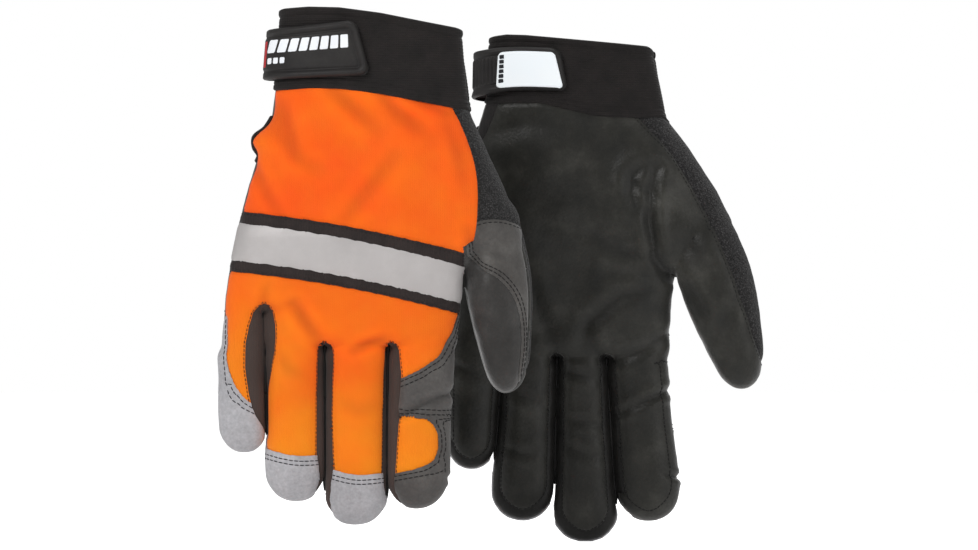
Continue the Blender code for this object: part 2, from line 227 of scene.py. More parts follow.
def rounded(value, roundness):
    """A sine or cosine turned into the same coordinate of a superellipse."""
    return np.sign(value) * np.abs(value) ** (2 / roundness)


class Glove:
    """One glove's shape tables, tied to the CAD frame through its joints and boxes."""

    def __init__(self, shape):
        self.shape = shape
        self.name = shape["name"]
        self.palm = shape["palm"]
        knuckle = self.joint("middle_knuckle")
        back, palm = (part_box(f"{self.name}_middle_tip_{side}") for side in ("back", "palm"))
        low = min(back[0][1], palm[0][1])
        high = max(back[1][1], palm[1][1])
        self.u0 = knuckle[0] / MM - shape["middle_u"]
        self.v0 = (low + high) / 2 / MM
        self.z0 = knuckle[2] / MM - shape["knuckle_z"]
        place = self.to_local(self.joint("thumb_knuckle"))
        self.thumb_joint = np.array([place[0], place[2]])
        self.thumb = shape["thumb"]
        lean, slope = (math.radians(self.thumb[key]) for key in ("lean", "slope"))
        self.thumb_along = np.array([math.sin(lean), -math.cos(lean)])
        self.thumb_across = np.array([math.cos(slope), math.sin(slope)])
        self.thumb_normal = np.array([math.sin(slope), -math.cos(slope)])
        self.thumb_gain = float(self.thumb_along @ self.thumb_normal)

    def joint(self, name):
        """A joint's place in the CAD frame, in metres."""
        return np.array(JOINTS[f"{self.name}_{name}"]["pos_m"], float)

    def to_world(self, points):
        """Points of the glove, in its millimetres, as points of the CAD frame in metres."""
        points = np.atleast_2d(points)
        return np.column_stack((self.u0 + points[:, 0], self.v0 + self.palm * points[:, 1],
                                self.z0 + points[:, 2])) * MM

    def to_local(self, point):
        """The opposite of to_world, for one point."""
        return np.array([point[0] / MM - self.u0, self.palm * (point[1] / MM - self.v0),
                         point[2] / MM - self.z0])

    def edge(self, which, z):
        """A side of the outline, or the half depth, at height z."""
        return table(self.shape[which], z)

    def digit(self, name, z):
        """A finger by itself at height z.

        Gives its centre, half width, half depth, distance below the knuckle, and length.
        """
        root, tip, wide, narrow, deep, tip_z = self.shape["fingers"][name]
        length = self.shape["knuckle_z"] - tip_z
        t = self.shape["knuckle_z"] - np.asarray(z, float)
        share = np.clip(t / length, ROOT_SHARE, 1)
        swell = table(FINGER_SWELL, share)
        half = wide + (narrow - wide) * np.clip(share, 0, 1)
        return root + (tip - root) * t / length, half * swell, deep * swell, t, length

    def gaps(self, z):
        """The middle line of the gap between each two neighbouring fingers."""
        sizes = [self.digit(name, z) for name in FINGERS]
        return [((a[0] + a[1]) + (b[0] - b[1])) / 2 for a, b in zip(sizes, sizes[1:])]

    def finger(self, name, z, gap=FINGER_GAP):
        """As digit(), but the sides that face a neighbour stop half a gap short of the middle line."""
        centre, half, depth, t, length = self.digit(name, z)
        k = FINGERS.index(name)
        gaps = self.gaps(z)
        left = gaps[k - 1] + gap / 2 if k > 0 else centre - half
        right = gaps[k] - gap / 2 if k < len(gaps) else centre + half
        return (left + right) / 2, (right - left) / 2, depth, t, length

    def thumb_limit(self, z):
        """The line in the web between the thumb and the hand; the thumb lies beyond it."""
        web_z = self.shape["thumb_edge"][2][0]
        web = self.edge("thumb_edge", np.minimum(z, web_z)) + WEB_MARGIN
        index = self.digit("index", z)
        beside = np.maximum(web, index[0] + index[1] + INDEX_MARGIN)
        return np.where(z < self.shape["knuckle_z"] + WEB_ABOVE, beside, web)

    def thumb_frame(self, points):
        """Distance down the thumb and distance across it, for points of the glove."""
        off = points[:, (0, 2)] - self.thumb_joint
        t = off @ self.thumb_normal / self.thumb_gain
        return t, (off - t[:, None] * self.thumb_along) @ self.thumb_across

    def thumb_half(self, t):
        """The thumb's half width at a distance down it."""
        share = np.clip(np.asarray(t, float) / self.thumb["length"], ROOT_SHARE, 1)
        return self.thumb["half"] * smooth_table(THUMB_SWELL, share)

    def line(self, key, u):
        """A band's edge: a sloping line that bows a little across the back."""
        start, slope = self.shape[key[0]][key[1]]
        bow = np.cos(np.clip((u - BOW_MIDDLE) / BOW_HALF, -1, 1) * math.pi / 2) - BOW_DROP
        return start + slope * u + self.shape["bow"] * bow


# ---------------------------------------------------------------- the skin of a glove

U_AXIS, V_AXIS = (1, 0, 0), (0, 1, 0)
RING_SIDES = 48
HAND_RINGS, DIGIT_RINGS = 40, 60
# The closed lower end of the hand: how far it takes to reach its full depth, and the share it starts from
HAND_END, HAND_END_SHARE = 5.0, 0.8
# Digits: where the tip starts to round off, as half widths from the end, the least size of a ring, and how
# far the buried end takes to reach its full size
TIP_START = 1.1
SMALLEST = 0.02
FINGER_DOME, THUMB_DOME = 24.0, 20.0
FINGER_BURIED, LITTLE_BURIED, THUMB_BURIED = 26.0, 18.0, 26.0
# The little finger's root stays inside the hand's edge above this distance from the knuckle
LITTLE_HELD = -6
# The ball of the thumb: how much deeper, where, and over what length
BALL_SHARE, BALL_AT, BALL_WIDTH = 0.12, 20, 22
THUMB_TIP_SHARE = 0.85
# The hand's two solids, from below the little finger's gap and below the ring finger's
HAND_DROPS = (2.0, 0.5)
HAND_OVERLAP = 30
RING_INSET = 0.4
# How far below a gap's top the fingers reach their full width
GAP_FADE = 7.0


def loft(rings):
    """A closed tube through rings of points, as vertices and faces."""
    count = len(rings[0])
    points = [p for ring in rings for p in ring]
    faces = []
    for i in range(len(rings) - 1):
        for j in range(count):
            k = (j + 1) % count
            faces.append((i * count + j, i * count + k, (i + 1) * count + k, (i + 1) * count + j))
    faces.append(tuple(range(count))[::-1])
    faces.append(tuple((len(rings) - 1) * count + j for j in range(count)))
    return points, faces


def ring_of(centre, across, deep, half, depth, roundness, count=RING_SIDES):
    """A superellipse ring of points round a centre."""
    turns = np.linspace(0, 2 * math.pi, count, endpoint=False)
    wide = half * rounded(np.cos(turns), roundness)
    tall = depth * rounded(np.sin(turns), roundness)
    return [tuple(np.array(centre) + np.array(across) * w + np.array(deep) * d) for w, d in zip(wide, tall)]


def hand_rings(glove, low, high, left=None):
    """Rings up the hand, from its outline or from a given left side."""
    rings = []
    for z in np.linspace(low, high, HAND_RINGS):
        lo = glove.edge("little_edge", z) if left is None else left
        hi = glove.edge("thumb_edge", z)
        near_end = min((z - low) / HAND_END, 1.0)
        depth = glove.edge("half_depth", z) * (HAND_END_SHARE + (1 - HAND_END_SHARE) * math.sqrt(near_end))
        rings.append(ring_of(((lo + hi) / 2, 0, z), U_AXIS, V_AXIS, (hi - lo) / 2, depth, HAND_ROUNDNESS))
    return rings


def tip_factor(t, length, half):
    """The size of a digit's ring at t beside its full size: it rounds off towards the tip."""
    start = length - TIP_START * half
    share = np.clip((t - start) / (length - start), 0, 1)
    return (1 - share ** TIP_ROUNDNESS) ** (1 / TIP_ROUNDNESS)


def dome(distance, reach):
    """Rounds off the buried end of a tube: 0 at the end, 1 past reach."""
    return math.sqrt(max(1 - (1 - min(distance / reach, 1.0)) ** 2, 0.0))


def digit_places(length, reach_up):
    """Distances down a digit, closer together towards the tip."""
    for share in np.linspace(0, 1, DIGIT_RINGS):
        t = -reach_up + (length + reach_up) * math.sin(share * math.pi / 2)
        yield min(t, length - SMALLEST)


def finger_rings(glove, name, reach_up):
    """Rings down a finger, from a buried end inside the hand to the tip."""
    half, tip_z = glove.shape["fingers"][name][3], glove.shape["fingers"][name][5]
    knuckle = glove.shape["knuckle_z"]
    length = knuckle - tip_z
    rings = []
    for t in digit_places(length, reach_up):
        centre, wide, depth, _, _ = glove.finger(name, knuckle - t, REMESH_GAP)
        if name == "little" and t < LITTLE_HELD:
            low = max(centre - wide, float(glove.edge("little_edge", knuckle - t)))
            centre, wide = (low + centre + wide) / 2, (centre + wide - low) / 2
        size = max(float(tip_factor(t, length, half)) * dome(t + reach_up, FINGER_DOME), SMALLEST)
        rings.append(ring_of((centre, 0, knuckle - t), U_AXIS, V_AXIS, wide * size, depth * size,
                             DIGIT_ROUNDNESS))
    return rings


def thumb_rings(glove):
    """Rings down the thumb, which leans out and sits towards the palm."""
    length, reach_up = glove.thumb["length"], THUMB_BURIED
    across = (glove.thumb_across[0], 0, glove.thumb_across[1])
    rings = []
    for t in digit_places(length, reach_up):
        tip = float(tip_factor(t, length, glove.thumb["half"] * THUMB_TIP_SHARE))
        size = max(tip * dome(t + reach_up, THUMB_DOME), SMALLEST)
        centre = glove.thumb_joint + glove.thumb_along * t
        half = float(glove.thumb_half(t)) * size
        depth = THUMB_DEPTH * (1.0 + BALL_SHARE * math.exp(-((t - BALL_AT) / BALL_WIDTH) ** 2)) * size
        shift = THUMB_SHIFT * min(1.0, max(0.0, (t + reach_up) / reach_up))
        rings.append(ring_of((centre[0], shift, centre[1]), across, V_AXIS, half, depth, DIGIT_ROUNDNESS))
    return rings


def new_mesh(name, points, faces):
    """A Blender mesh from points in metres."""
    mesh = bpy.data.meshes.new(name)
    mesh.from_pydata([tuple(p) for p in points], [], faces)
    mesh.update()
    return mesh


def joined(parts):
    """Several lists of points and faces as one."""
    points, faces = [], []
    for more, sides in parts:
        faces += [tuple(i + len(points) for i in side) for side in sides]
        points += more
    return points, faces


def evaluated_arrays(obj):
    """An object's points and triangles with its modifiers applied."""
    graph = bpy.context.evaluated_depsgraph_get()
    mesh = obj.evaluated_get(graph).to_mesh()
    mesh.calc_loop_triangles()
    points = np.empty(len(mesh.vertices) * 3)
    mesh.vertices.foreach_get("co", points)
    triangles = np.empty(len(mesh.loop_triangles) * 3, int)
    mesh.loop_triangles.foreach_get("vertices", triangles)
    obj.evaluated_get(graph).to_mesh_clear()
    return points.reshape(-1, 3), triangles.reshape(-1, 3)


def base_skin(glove):
    """Hand, fingers and thumb merged into one smooth closed surface, in the glove's own axes."""
    knuckle = glove.shape["knuckle_z"]
    slot = glove.shape["slot_tops"]
    top = glove.shape["cuff"][1][0]
    ring_centre, _, ring_half = glove.shape["fingers"]["ring"][:3]
    ring_left = ring_centre - ring_half + RING_INSET
    solids = [hand_rings(glove, slot[0] - HAND_DROPS[0], top),
              hand_rings(glove, slot[1] - HAND_DROPS[1], slot[0] + HAND_OVERLAP, ring_left)]
    for name in FINGERS:
        buried = slot[0] - knuckle + LITTLE_BURIED if name == "little" else FINGER_BURIED
        solids.append(finger_rings(glove, name, buried))
    solids.append(thumb_rings(glove))
    points, faces = joined(loft(rings) for rings in solids)
    obj = bpy.data.objects.new("skin", new_mesh("skin", np.array(points) * MM, faces))
    bpy.context.collection.objects.link(obj)
    grid = bmesh.new()
    grid.from_mesh(obj.data)
    bmesh.ops.recalc_face_normals(grid, faces=grid.faces)
    grid.to_mesh(obj.data)
    grid.free()
    remesh = obj.modifiers.new("remesh", "REMESH")
    remesh.mode = "VOXEL"
    remesh.voxel_size = VOXEL * MM
    smooth = obj.modifiers.new("smooth", "SMOOTH")
    smooth.factor = SMOOTH_FACTOR
    smooth.iterations = SMOOTH_STEPS
    points, triangles = evaluated_arrays(obj)
    bpy.data.objects.remove(obj, do_unlink=True)
    return close_gaps(glove, points / MM), triangles


def close_gaps(glove, points):
    """Widens the fingers sideways until neighbours nearly touch, which a voxel grid can't do itself."""
    u, z = points[:, 0], points[:, 2]
    gaps = glove.gaps(z)
    which = sum((u > m).astype(int) for m in gaps)
    moved = u.copy()
    for k, name in enumerate(FINGERS):
        narrow, wide = glove.finger(name, z, REMESH_GAP), glove.finger(name, z)
        low, high = narrow[0] - narrow[1], narrow[0] + narrow[1]
        tops = [glove.shape["slot_tops"][i] if 0 <= i < len(gaps) else 0.0 for i in (k - 1, k)]
        fade = [step_down(z, top, GAP_FADE) for top in tops]
        left = (wide[0] - wide[1] - low) * fade[0] * step_down(u, high, high - low)
        right = (wide[0] + wide[1] - high) * fade[1] * step_up(u, low, high - low)
        moved = np.where(which == k, u + left + right, moved)
    thumb = u > glove.thumb_limit(z)
    return np.column_stack((np.where(thumb, u, moved), points[:, 1], z))


def off_zero(values):
    """Values with exact zeros nudged up, so that every point is on one side of a line."""
    return np.where(np.abs(values) < 1e-9, 1e-9, values)


def cut(points, triangles, field):
    """Splits every triangle that a field's zero line crosses."""
    values = off_zero(field(points))
    positive = values[triangles] > 0
    count = positive.sum(1)
    mixed = (count == 1) | (count == 2)
    if not mixed.any():
        return points, triangles
    split = triangles[mixed]
    signs = positive[mixed]
    lone = np.where(signs.sum(1) == 1, signs.argmax(1), (~signs).argmax(1))
    rows = np.arange(len(split))
    a, b, c = (split[rows, (lone + k) % 3] for k in range(3))
    edges = np.sort(np.concatenate((np.column_stack((a, b)), np.column_stack((a, c)))), axis=1)
    base = len(points) + 1
    keys, index = np.unique(edges[:, 0] * base + edges[:, 1], return_inverse=True)
    first, second = keys // base, keys % base
    share = values[first] / (values[first] - values[second])
    fresh = points[first] + (points[second] - points[first]) * share[:, None]
    index = index.reshape(-1) + len(points)
    p, q = index[:len(split)], index[len(split):]
    pieces = (np.column_stack((a, p, q)), np.column_stack((p, b, c)), np.column_stack((p, c, q)))
    return np.vstack((points, fresh)), np.vstack((triangles[~mixed],) + pieces)


def vertex_normals(points, triangles):
    """Each point's normal, weighted by the area of the triangles round it."""
    corners = points[triangles]
    face = np.cross(corners[:, 1] - corners[:, 0], corners[:, 2] - corners[:, 0])
    normals = np.zeros_like(points)
    for k in range(3):
        np.add.at(normals, triangles[:, k], face)
    return unit(normals, 1e-12)


# ---------------------------------------------------------------- where each panel lies

# Edges of the dark strips between the fingers on the back, from the middle of each gap:
# (distance below the strip's top, left edge) and (distance, right edge)
SLOTS = (
    ([(0, 0), (1.2, -2.8), (4, -5.2), (10, -7.2), (18.7, -9.0), (30.5, -9.3), (42.4, -8.0), (49.5, -6.6),
      (53, -5.4), (60.8, -0.9), (63, 0)],
     [(0, 0), (1.2, 2.6), (4, 4.0), (9.2, 4.9), (22.2, 4.3), (34.1, 1.8), (41, 0.5), (60, 0.3), (63, 0)]),
    ([(0, 0), (1.0, -1.9), (3.6, -3.0), (17.9, -3.4), (35.6, -3.7), (54.6, -3.9), (70, -1.8), (73, 0)],
     [(0, 0), (1.0, 2.4), (3.6, 4.3), (17.9, 3.6), (35.6, 3.0), (54.6, 3.7), (61.7, 4.1), (67.7, 3.4),
      (78, 2.4), (83, 0)]),
    ([(0, 1.8), (1.0, 0.6), (3.6, -0.6), (17.9, -1.3), (60, -1.8), (70, -1.4), (74, 0)],
     [(0, 1.8), (1.0, 3.8), (3.6, 5.2), (15.5, 6.6), (36, 5.8), (50, 5.0), (63, 4.2), (76, 3.0), (80, 0)]),
)
# Upper edges of the fingertip leather on the back: (share across the finger, height above the tip)
CAP_EDGES = {
    "little": [(-1.0, 74.0), (-0.76, 66.0), (-0.66, 48.0), (-0.44, 36.3), (-0.1, 29.2), (0.4, 23.8),
               (1.0, 20.5)],
    "ring": [(-1.0, 25.6), (0.0, 22.2), (1.0, 22.6)],
    "middle": [(-1.0, 28.0), (0.0, 24.3), (1.0, 25.2)],
}
# The index finger's leather: its upper edge, and the right edge of the knit window in it
INDEX_TOP = [(-1.0, 61.5), (-0.76, 62.0), (-0.3, 65.0), (0.2, 69.5), (0.69, 77.5), (0.88, 85.0), (1.0, 94.0)]
INDEX_WINDOW = [(9.0, -3.4), (16.6, -0.9), (17.2, -0.7), (17.8, -0.45), (19.5, -0.02), (21.9, 0.36),
                (26.6, 0.58), (32.6, 0.63), (39.0, 0.53), (42.4, 0.33), (43.9, 0.1), (44.8, -0.5),
                (45.0, -0.9), (53.0, -17.0)]
# The palm leather of a finger: its half width as a share of the finger's, the arch at the top of each channel
# beside it, and where it ends short of the tip, in millimetres and in half widths
PALM_PANEL = 0.73
CHANNEL_ARCH = 3.4
PALM_END, PALM_END_HALVES = 5.0, 0.8
# Terry on the palm: its width up the hand, as (height, width), and its inner edge on the thumb, as
# (distance down the thumb, share of the thumb's half width)
TERRY_WIDTH = [(150, 10.5), (170, 11.0), (190, 10.2), (212, 13.5)]
TERRY_SHARE = [(-10, 0.38), (4, 0.42), (30, 0.50), (50, 0.66), (66, 0.92)]
# Seams on the back of the thumb: where the terry ends, as (height, bow, middle), and the curved seam, as
# (distance down the thumb, share of the thumb's half width)
THUMB_SEAM = (158.5, 0.020, 70)
THUMB_CURVE = [(-3, -0.95), (4, -0.62), (14, -0.02), (26, 0.42), (38, 0.62), (50, 0.66), (64, 0.5)]
# Where the bases of the fingers and of the thumb are split, as shares of the way to the middle joint
HALF_BASE, THUMB_HALF_BASE = 0.5, 0.52
# How far from a gap's middle its strip reaches, and how high above the knuckles each leather can lie
SLOT_REACH = 13
CAP_ABOVE, INDEX_ABOVE, WINDOW_ABOVE, RIM_ABOVE, FINGER_ABOVE = 22, 26, 5, 12, 25
# The lower and upper edges of the band across the back and of the tape on it
BAND_LINES = (("band", 0), ("tape", 0), ("tape", 1), ("band", 1))


class Fields:
    """Numbers worked out for every point of a skin, which the panel edges are drawn from.

    The edges are methods. Each gives values that are zero along the edge, positive on one side and negative
    on the other, and a plain 1 or -1 where the edge doesn't reach.
    """

    def __init__(self, glove, points):
        self.glove = glove
        self.u, self.v, self.z = points.T
        self.above = self.z - glove.shape["knuckle_z"]
        sizes = [glove.finger(name, self.z) for name in FINGERS]
        self.middles = glove.gaps(self.z)
        self.which = sum((self.u > m).astype(int) for m in self.middles)
        self.centre, self.half, depth, self.t, self.length = (
            np.choose(self.which, [size[k] for size in sizes]) for k in range(5))
        across = (self.u - self.centre) / self.half
        self.cosine = across / np.maximum(np.hypot(across, self.v / depth), 1e-6)
        self.from_tip = self.length - self.t
        self.finger_u = self.centre + self.half * self.cosine
        self.thumb_t, self.thumb_x = glove.thumb_frame(points)
        self.thumb_share = self.thumb_x / glove.thumb_half(self.thumb_t)
        self.thumb_n = self.thumb_t * glove.thumb_gain
        self.thumb_side = self.u - glove.thumb_limit(self.z)
        self.in_thumb = (self.thumb_n > -THUMB_REACH[0]) & (self.thumb_side > 0)
        self.in_fingers = (self.above < FINGER_REACH) & ~self.in_thumb

    def slot(self, k, side):
        """Signed distance to one edge of the dark strip at gap k."""
        below = self.glove.shape["slot_tops"][k] - self.z
        edge = self.middles[k] + table(SLOTS[k][side], below)
        near = step_up(below, 1.0, 4.0)
        limit = self.centre + 0.95 * self.half * (1 - 2 * side)
        held = np.minimum(edge, limit) if side == 0 else np.maximum(edge, limit)
        edge = edge + (held - edge) * near
        place = self.u + (self.finger_u - self.u) * near
        mask = (below > -1.5) & (below < table_end(SLOTS[k][side])) & (self.v < 2.5) & ~self.in_thumb
        mask &= np.abs(self.u - self.middles[k]) < SLOT_REACH
        own = (self.which == k + side) | (below < 5.0)
        return np.where(mask & own, place - edge, 1.0)

    def palm_panel(self):
        """Negative inside the palm-side leather of a finger, which ends short of the tip."""
        fall = PALM_END_HALVES * self.half
        along = np.clip((self.t - (self.length - PALM_END - fall)) / fall, 0, None)
        value = np.hypot(self.cosine / PALM_PANEL, along) - 1
        below, distance = self.nearest_gap()
        rise = CHANNEL_ARCH * quarter_round(below / CHANNEL_ARCH)
        arch = np.where(below > CHANNEL_ARCH, 1.0, (rise - distance) / self.half - 0.01)
        mask = (self.v > -1.0) & ~self.in_thumb & (below > -8)
        return np.where(mask, np.minimum(value, arch), -1.0)

    def nearest_gap(self):
        """How far below the top of the nearest gap between fingers each point is, and how far beside it."""
        k = np.clip(np.where(self.cosine < 0, self.which - 1, self.which), 0, 2)
        top = np.choose(k, self.glove.shape["slot_tops"])
        return top - self.z, np.abs(self.u - np.choose(k, self.middles))

    def cap(self, name):
        """Positive towards the tip of a finger, past its leather's upper edge."""
        edge = smooth_table(CAP_EDGES[name], self.cosine)
        mask = (self.which == FINGERS.index(name)) & (self.above < CAP_ABOVE) & ~self.in_thumb
        return np.where(mask, edge - self.from_tip, 1.0)

    def index_top(self):
        """Positive towards the tip, past the upper edge of the index finger's leather."""
        mask = (self.which == 3) & (self.above < INDEX_ABOVE) & ~self.in_thumb
        return np.where(mask, smooth_table(INDEX_TOP, self.cosine) - self.from_tip, 1.0)

    def index_window(self):
        """Negative inside the window of knit in the index finger's leather."""
        edge = smooth_table(INDEX_WINDOW, self.from_tip)
        inside = (self.from_tip > INDEX_WINDOW[0][0]) & (self.from_tip < INDEX_WINDOW[-1][0])
        mask = (self.which == 3) & (self.above < WINDOW_ABOVE) & ~self.in_thumb
        return np.where(mask & inside, self.cosine - edge, 1.0)

    def band(self, key):
        """Height above one edge of a band across the back."""
        edge = self.glove.line(key, self.u)
        mask = (self.v < 2.0) & (np.abs(self.z - edge) < 6)
        return np.where(mask, self.z - edge, 1.0)

    def back_terry(self):
        """Positive where the back's knit gives way to the thumb's terry."""
        line = smooth_table(self.glove.shape["back_terry"], self.z)
        mask = (self.v < 3.0 + THUMB_SHIFT) & (self.z > 106) & (self.u > 20)
        return np.where(mask, self.u - line, -1.0)

    def palm_terry(self):
        """Positive in the strip of terry along the thumb's outer side, seen from the palm."""
        hand = self.u - (self.glove.edge("thumb_edge", self.z) - table(TERRY_WIDTH, self.z))
        thumb = (self.thumb_share - table(TERRY_SHARE, self.thumb_t)) * self.glove.thumb_half(self.thumb_t)
        value = np.where(self.thumb_n > -8.0, thumb, hand)
        mask = (self.v > -3.0 + THUMB_SHIFT * (self.thumb_n > -8)) & (self.u > 20) & (self.z > 60)
        return np.where(mask & (self.in_thumb | (self.thumb_n < -8.0) | (self.u > 58)), value, -1.0)

    def thumb_top(self):
        """Positive above the seam that ends the terry on the back of the thumb."""
        height, bow, middle = THUMB_SEAM
        edge = height - bow * (self.u - middle) ** 2
        mask = (self.u > 50) & (self.z > 135)
        return np.where(mask, self.z - edge, np.where(self.z > 150, 1.0, -1.0))

    def thumb_curve(self):
        """Positive outside the curved seam on the back of the thumb."""
        value = (self.thumb_share - smooth_table(THUMB_CURVE, self.thumb_t)) * 10
        return np.where(self.in_thumb | (self.thumb_n > -12), value, 1.0)

    def ulnar(self):
        """Positive on the palm's side of the seam that runs round the outline."""
        wrap = THUMB_WRAP * step_up(self.thumb_x, 0, 8) * step_up(self.thumb_n, -4, 10)
        return np.where(self.in_thumb | (self.u > 62), self.v - THUMB_SHIFT + wrap, self.v)

    def finger_zone(self):
        """Negative where the cloth bends over a knuckle."""
        return np.where(self.in_thumb, 1.0, self.above - FINGER_REACH)

    def half_base(self):
        """Positive past the middle of a finger's base, where the cloth bends over the middle joint."""
        return np.where(self.in_fingers, self.t - HALF_BASE * MIDDLE_JOINT_AT * self.length, -1.0)

    def thumb_zone(self):
        """Positive where the cloth bends over the thumb's root."""
        return np.where(self.thumb_side > 0, self.thumb_n + THUMB_REACH[0], -1.0)

    def thumb_half_base(self):
        """Positive past the middle of the thumb's base."""
        split = THUMB_HALF_BASE * THUMB_TIP_AT * self.glove.thumb["length"]
        return np.where(self.in_thumb, self.thumb_t - split, -1.0)

    def cuff(self):
        """Positive above the line inside the cuff where the cloth ends."""
        start, slope = self.glove.shape["cuff"][0]
        return self.z - (start + slope * self.u + CUFF_TUCK)


def every_edge():
    """The lines along which the skin is cut, as functions of its fields."""
    edges = [Fields.cuff, Fields.ulnar, Fields.finger_zone, Fields.half_base, Fields.thumb_zone,
             Fields.thumb_half_base]
    edges += [lambda f, k=k, s=s: f.slot(k, s) for k in range(3) for s in range(2)]
    edges += [Fields.palm_panel]
    edges += [lambda f, n=n: f.cap(n) for n in CAP_EDGES]
    edges += [Fields.index_top, Fields.index_window]
    edges += [lambda f, k=k: f.band(k) for k in BAND_LINES]
    return edges + [Fields.back_terry, Fields.palm_terry, Fields.thumb_top, Fields.thumb_curve]


PANELS = ("knit", "strip", "cap", "index_leather", "palm", "rim", "terry", "thumb_back", "thumb_inner",
          "band", "tape")
PANEL = {name: i for i, name in enumerate(PANELS)}


def panels_of(f):
    """The panel that each triangle belongs to, from the fields at its middle."""
    back = f.ulnar() < 0
    panel = np.full(len(f.u), PANEL["knit"])
    panel[~back] = PANEL["palm"]

    thumb_side = back & (f.back_terry() > 0) | f.in_thumb & back
    panel[thumb_side & (f.thumb_top() > 0)] = PANEL["terry"]
    lower = thumb_side & (f.thumb_top() <= 0)
    panel[lower] = PANEL["thumb_inner"]
    panel[lower & (f.thumb_curve() > 0)] = PANEL["thumb_back"]
    panel[~back & (f.palm_terry() > 0)] = PANEL["terry"]

    low, tape_low, tape_high, high = (f.z - f.glove.line(key, f.u) for key in BAND_LINES)
    in_band = back & ~thumb_side & (low > 0) & (high < 0) & (f.z > 100)
    panel[in_band] = PANEL["band"]
    panel[in_band & (tape_low > 0) & (tape_high < 0)] = PANEL["tape"]

    slot_tops = f.glove.shape["slot_tops"]
    tops = np.choose(f.which, [slot_tops[k] for k in (0, 1, 1, 2)])
    finger = (f.z < tops + FINGER_ABOVE) & ~f.in_thumb & ~in_band & ~thumb_side
    for name in CAP_EDGES:
        mine = finger & back & (f.which == FINGERS.index(name)) & (f.cap(name) > 0) & (f.above < CAP_ABOVE)
        panel[mine] = PANEL["cap"]
    index = finger & back & (f.which == 3) & (f.index_top() > 0) & (f.above < INDEX_ABOVE)
    panel[index] = PANEL["index_leather"]
    panel[index & (f.index_window() <= 0)] = PANEL["knit"]
    for k in range(3):
        below = slot_tops[k] - f.z
        for side in range(2):
            mine = (f.which == k + side) & finger & back & (below > 0)
            value = f.slot(k, side)
            beyond = value > 0 if side == 0 else value < 0
            near = (np.abs(f.u - f.middles[k]) < SLOT_REACH) & (below < table_end(SLOTS[k][side]))
            panel[mine & beyond & near] = PANEL["strip"]

    outside = (f.palm_panel() > 0) & (f.nearest_gap()[0] > 0)
    outer = (f.which == 0) & (f.cosine < 0) | (f.which == 3) & (f.cosine > 0)
    tip = (f.from_tip < PALM_END + PALM_END_HALVES * f.half) & (f.which < 3)
    inner_side = ~outer & ((f.which < 3) | (f.from_tip > 14) | (f.cosine < -0.93))
    panel[~back & finger & (f.above < RIM_ABOVE) & outside & (inner_side | tip)] = PANEL["rim"]
    return panel


ZONES = ("hand",) + tuple(f"{n}_{z}" for n in FINGERS + ("thumb",) for z in ("base", "tip"))


def zones_of(f):
    """Which joint each triangle bends over: 0 is the hand, then two zones for each finger and thumb."""
    zone = np.zeros(len(f.u), int)
    fingers = f.in_fingers
    zone[fingers] = 1 + 2 * f.which[fingers] + (f.half_base()[fingers] > 0)
    zone[f.in_thumb] = 9 + (f.thumb_half_base()[f.in_thumb] > 0)
    return zone


# ---------------------------------------------------------------- materials

def srgb(code):
    """A web colour as linear RGBA."""
    values = [int(code[i:i + 2], 16) / 255 for i in (1, 3, 5)]
    return [v / 12.92 if v < 0.04045 else ((v + 0.055) / 1.055) ** 2.4 for v in values] + [1.0]


# How much of a finish's sheen is used, and values that every finish shares
SHEEN_GAIN, SHEEN_ROUGHNESS, SPECULAR = 0.35, 0.5, 0.28
# The depths of relief, in millimetres, at which the painted shade in a crease is darkest and the painted
# highlight on a roll is lightest
CREASE_RELIEF = (-1.6, 1.2)
# How fine the lint on woven tape is
LINT = 1.4


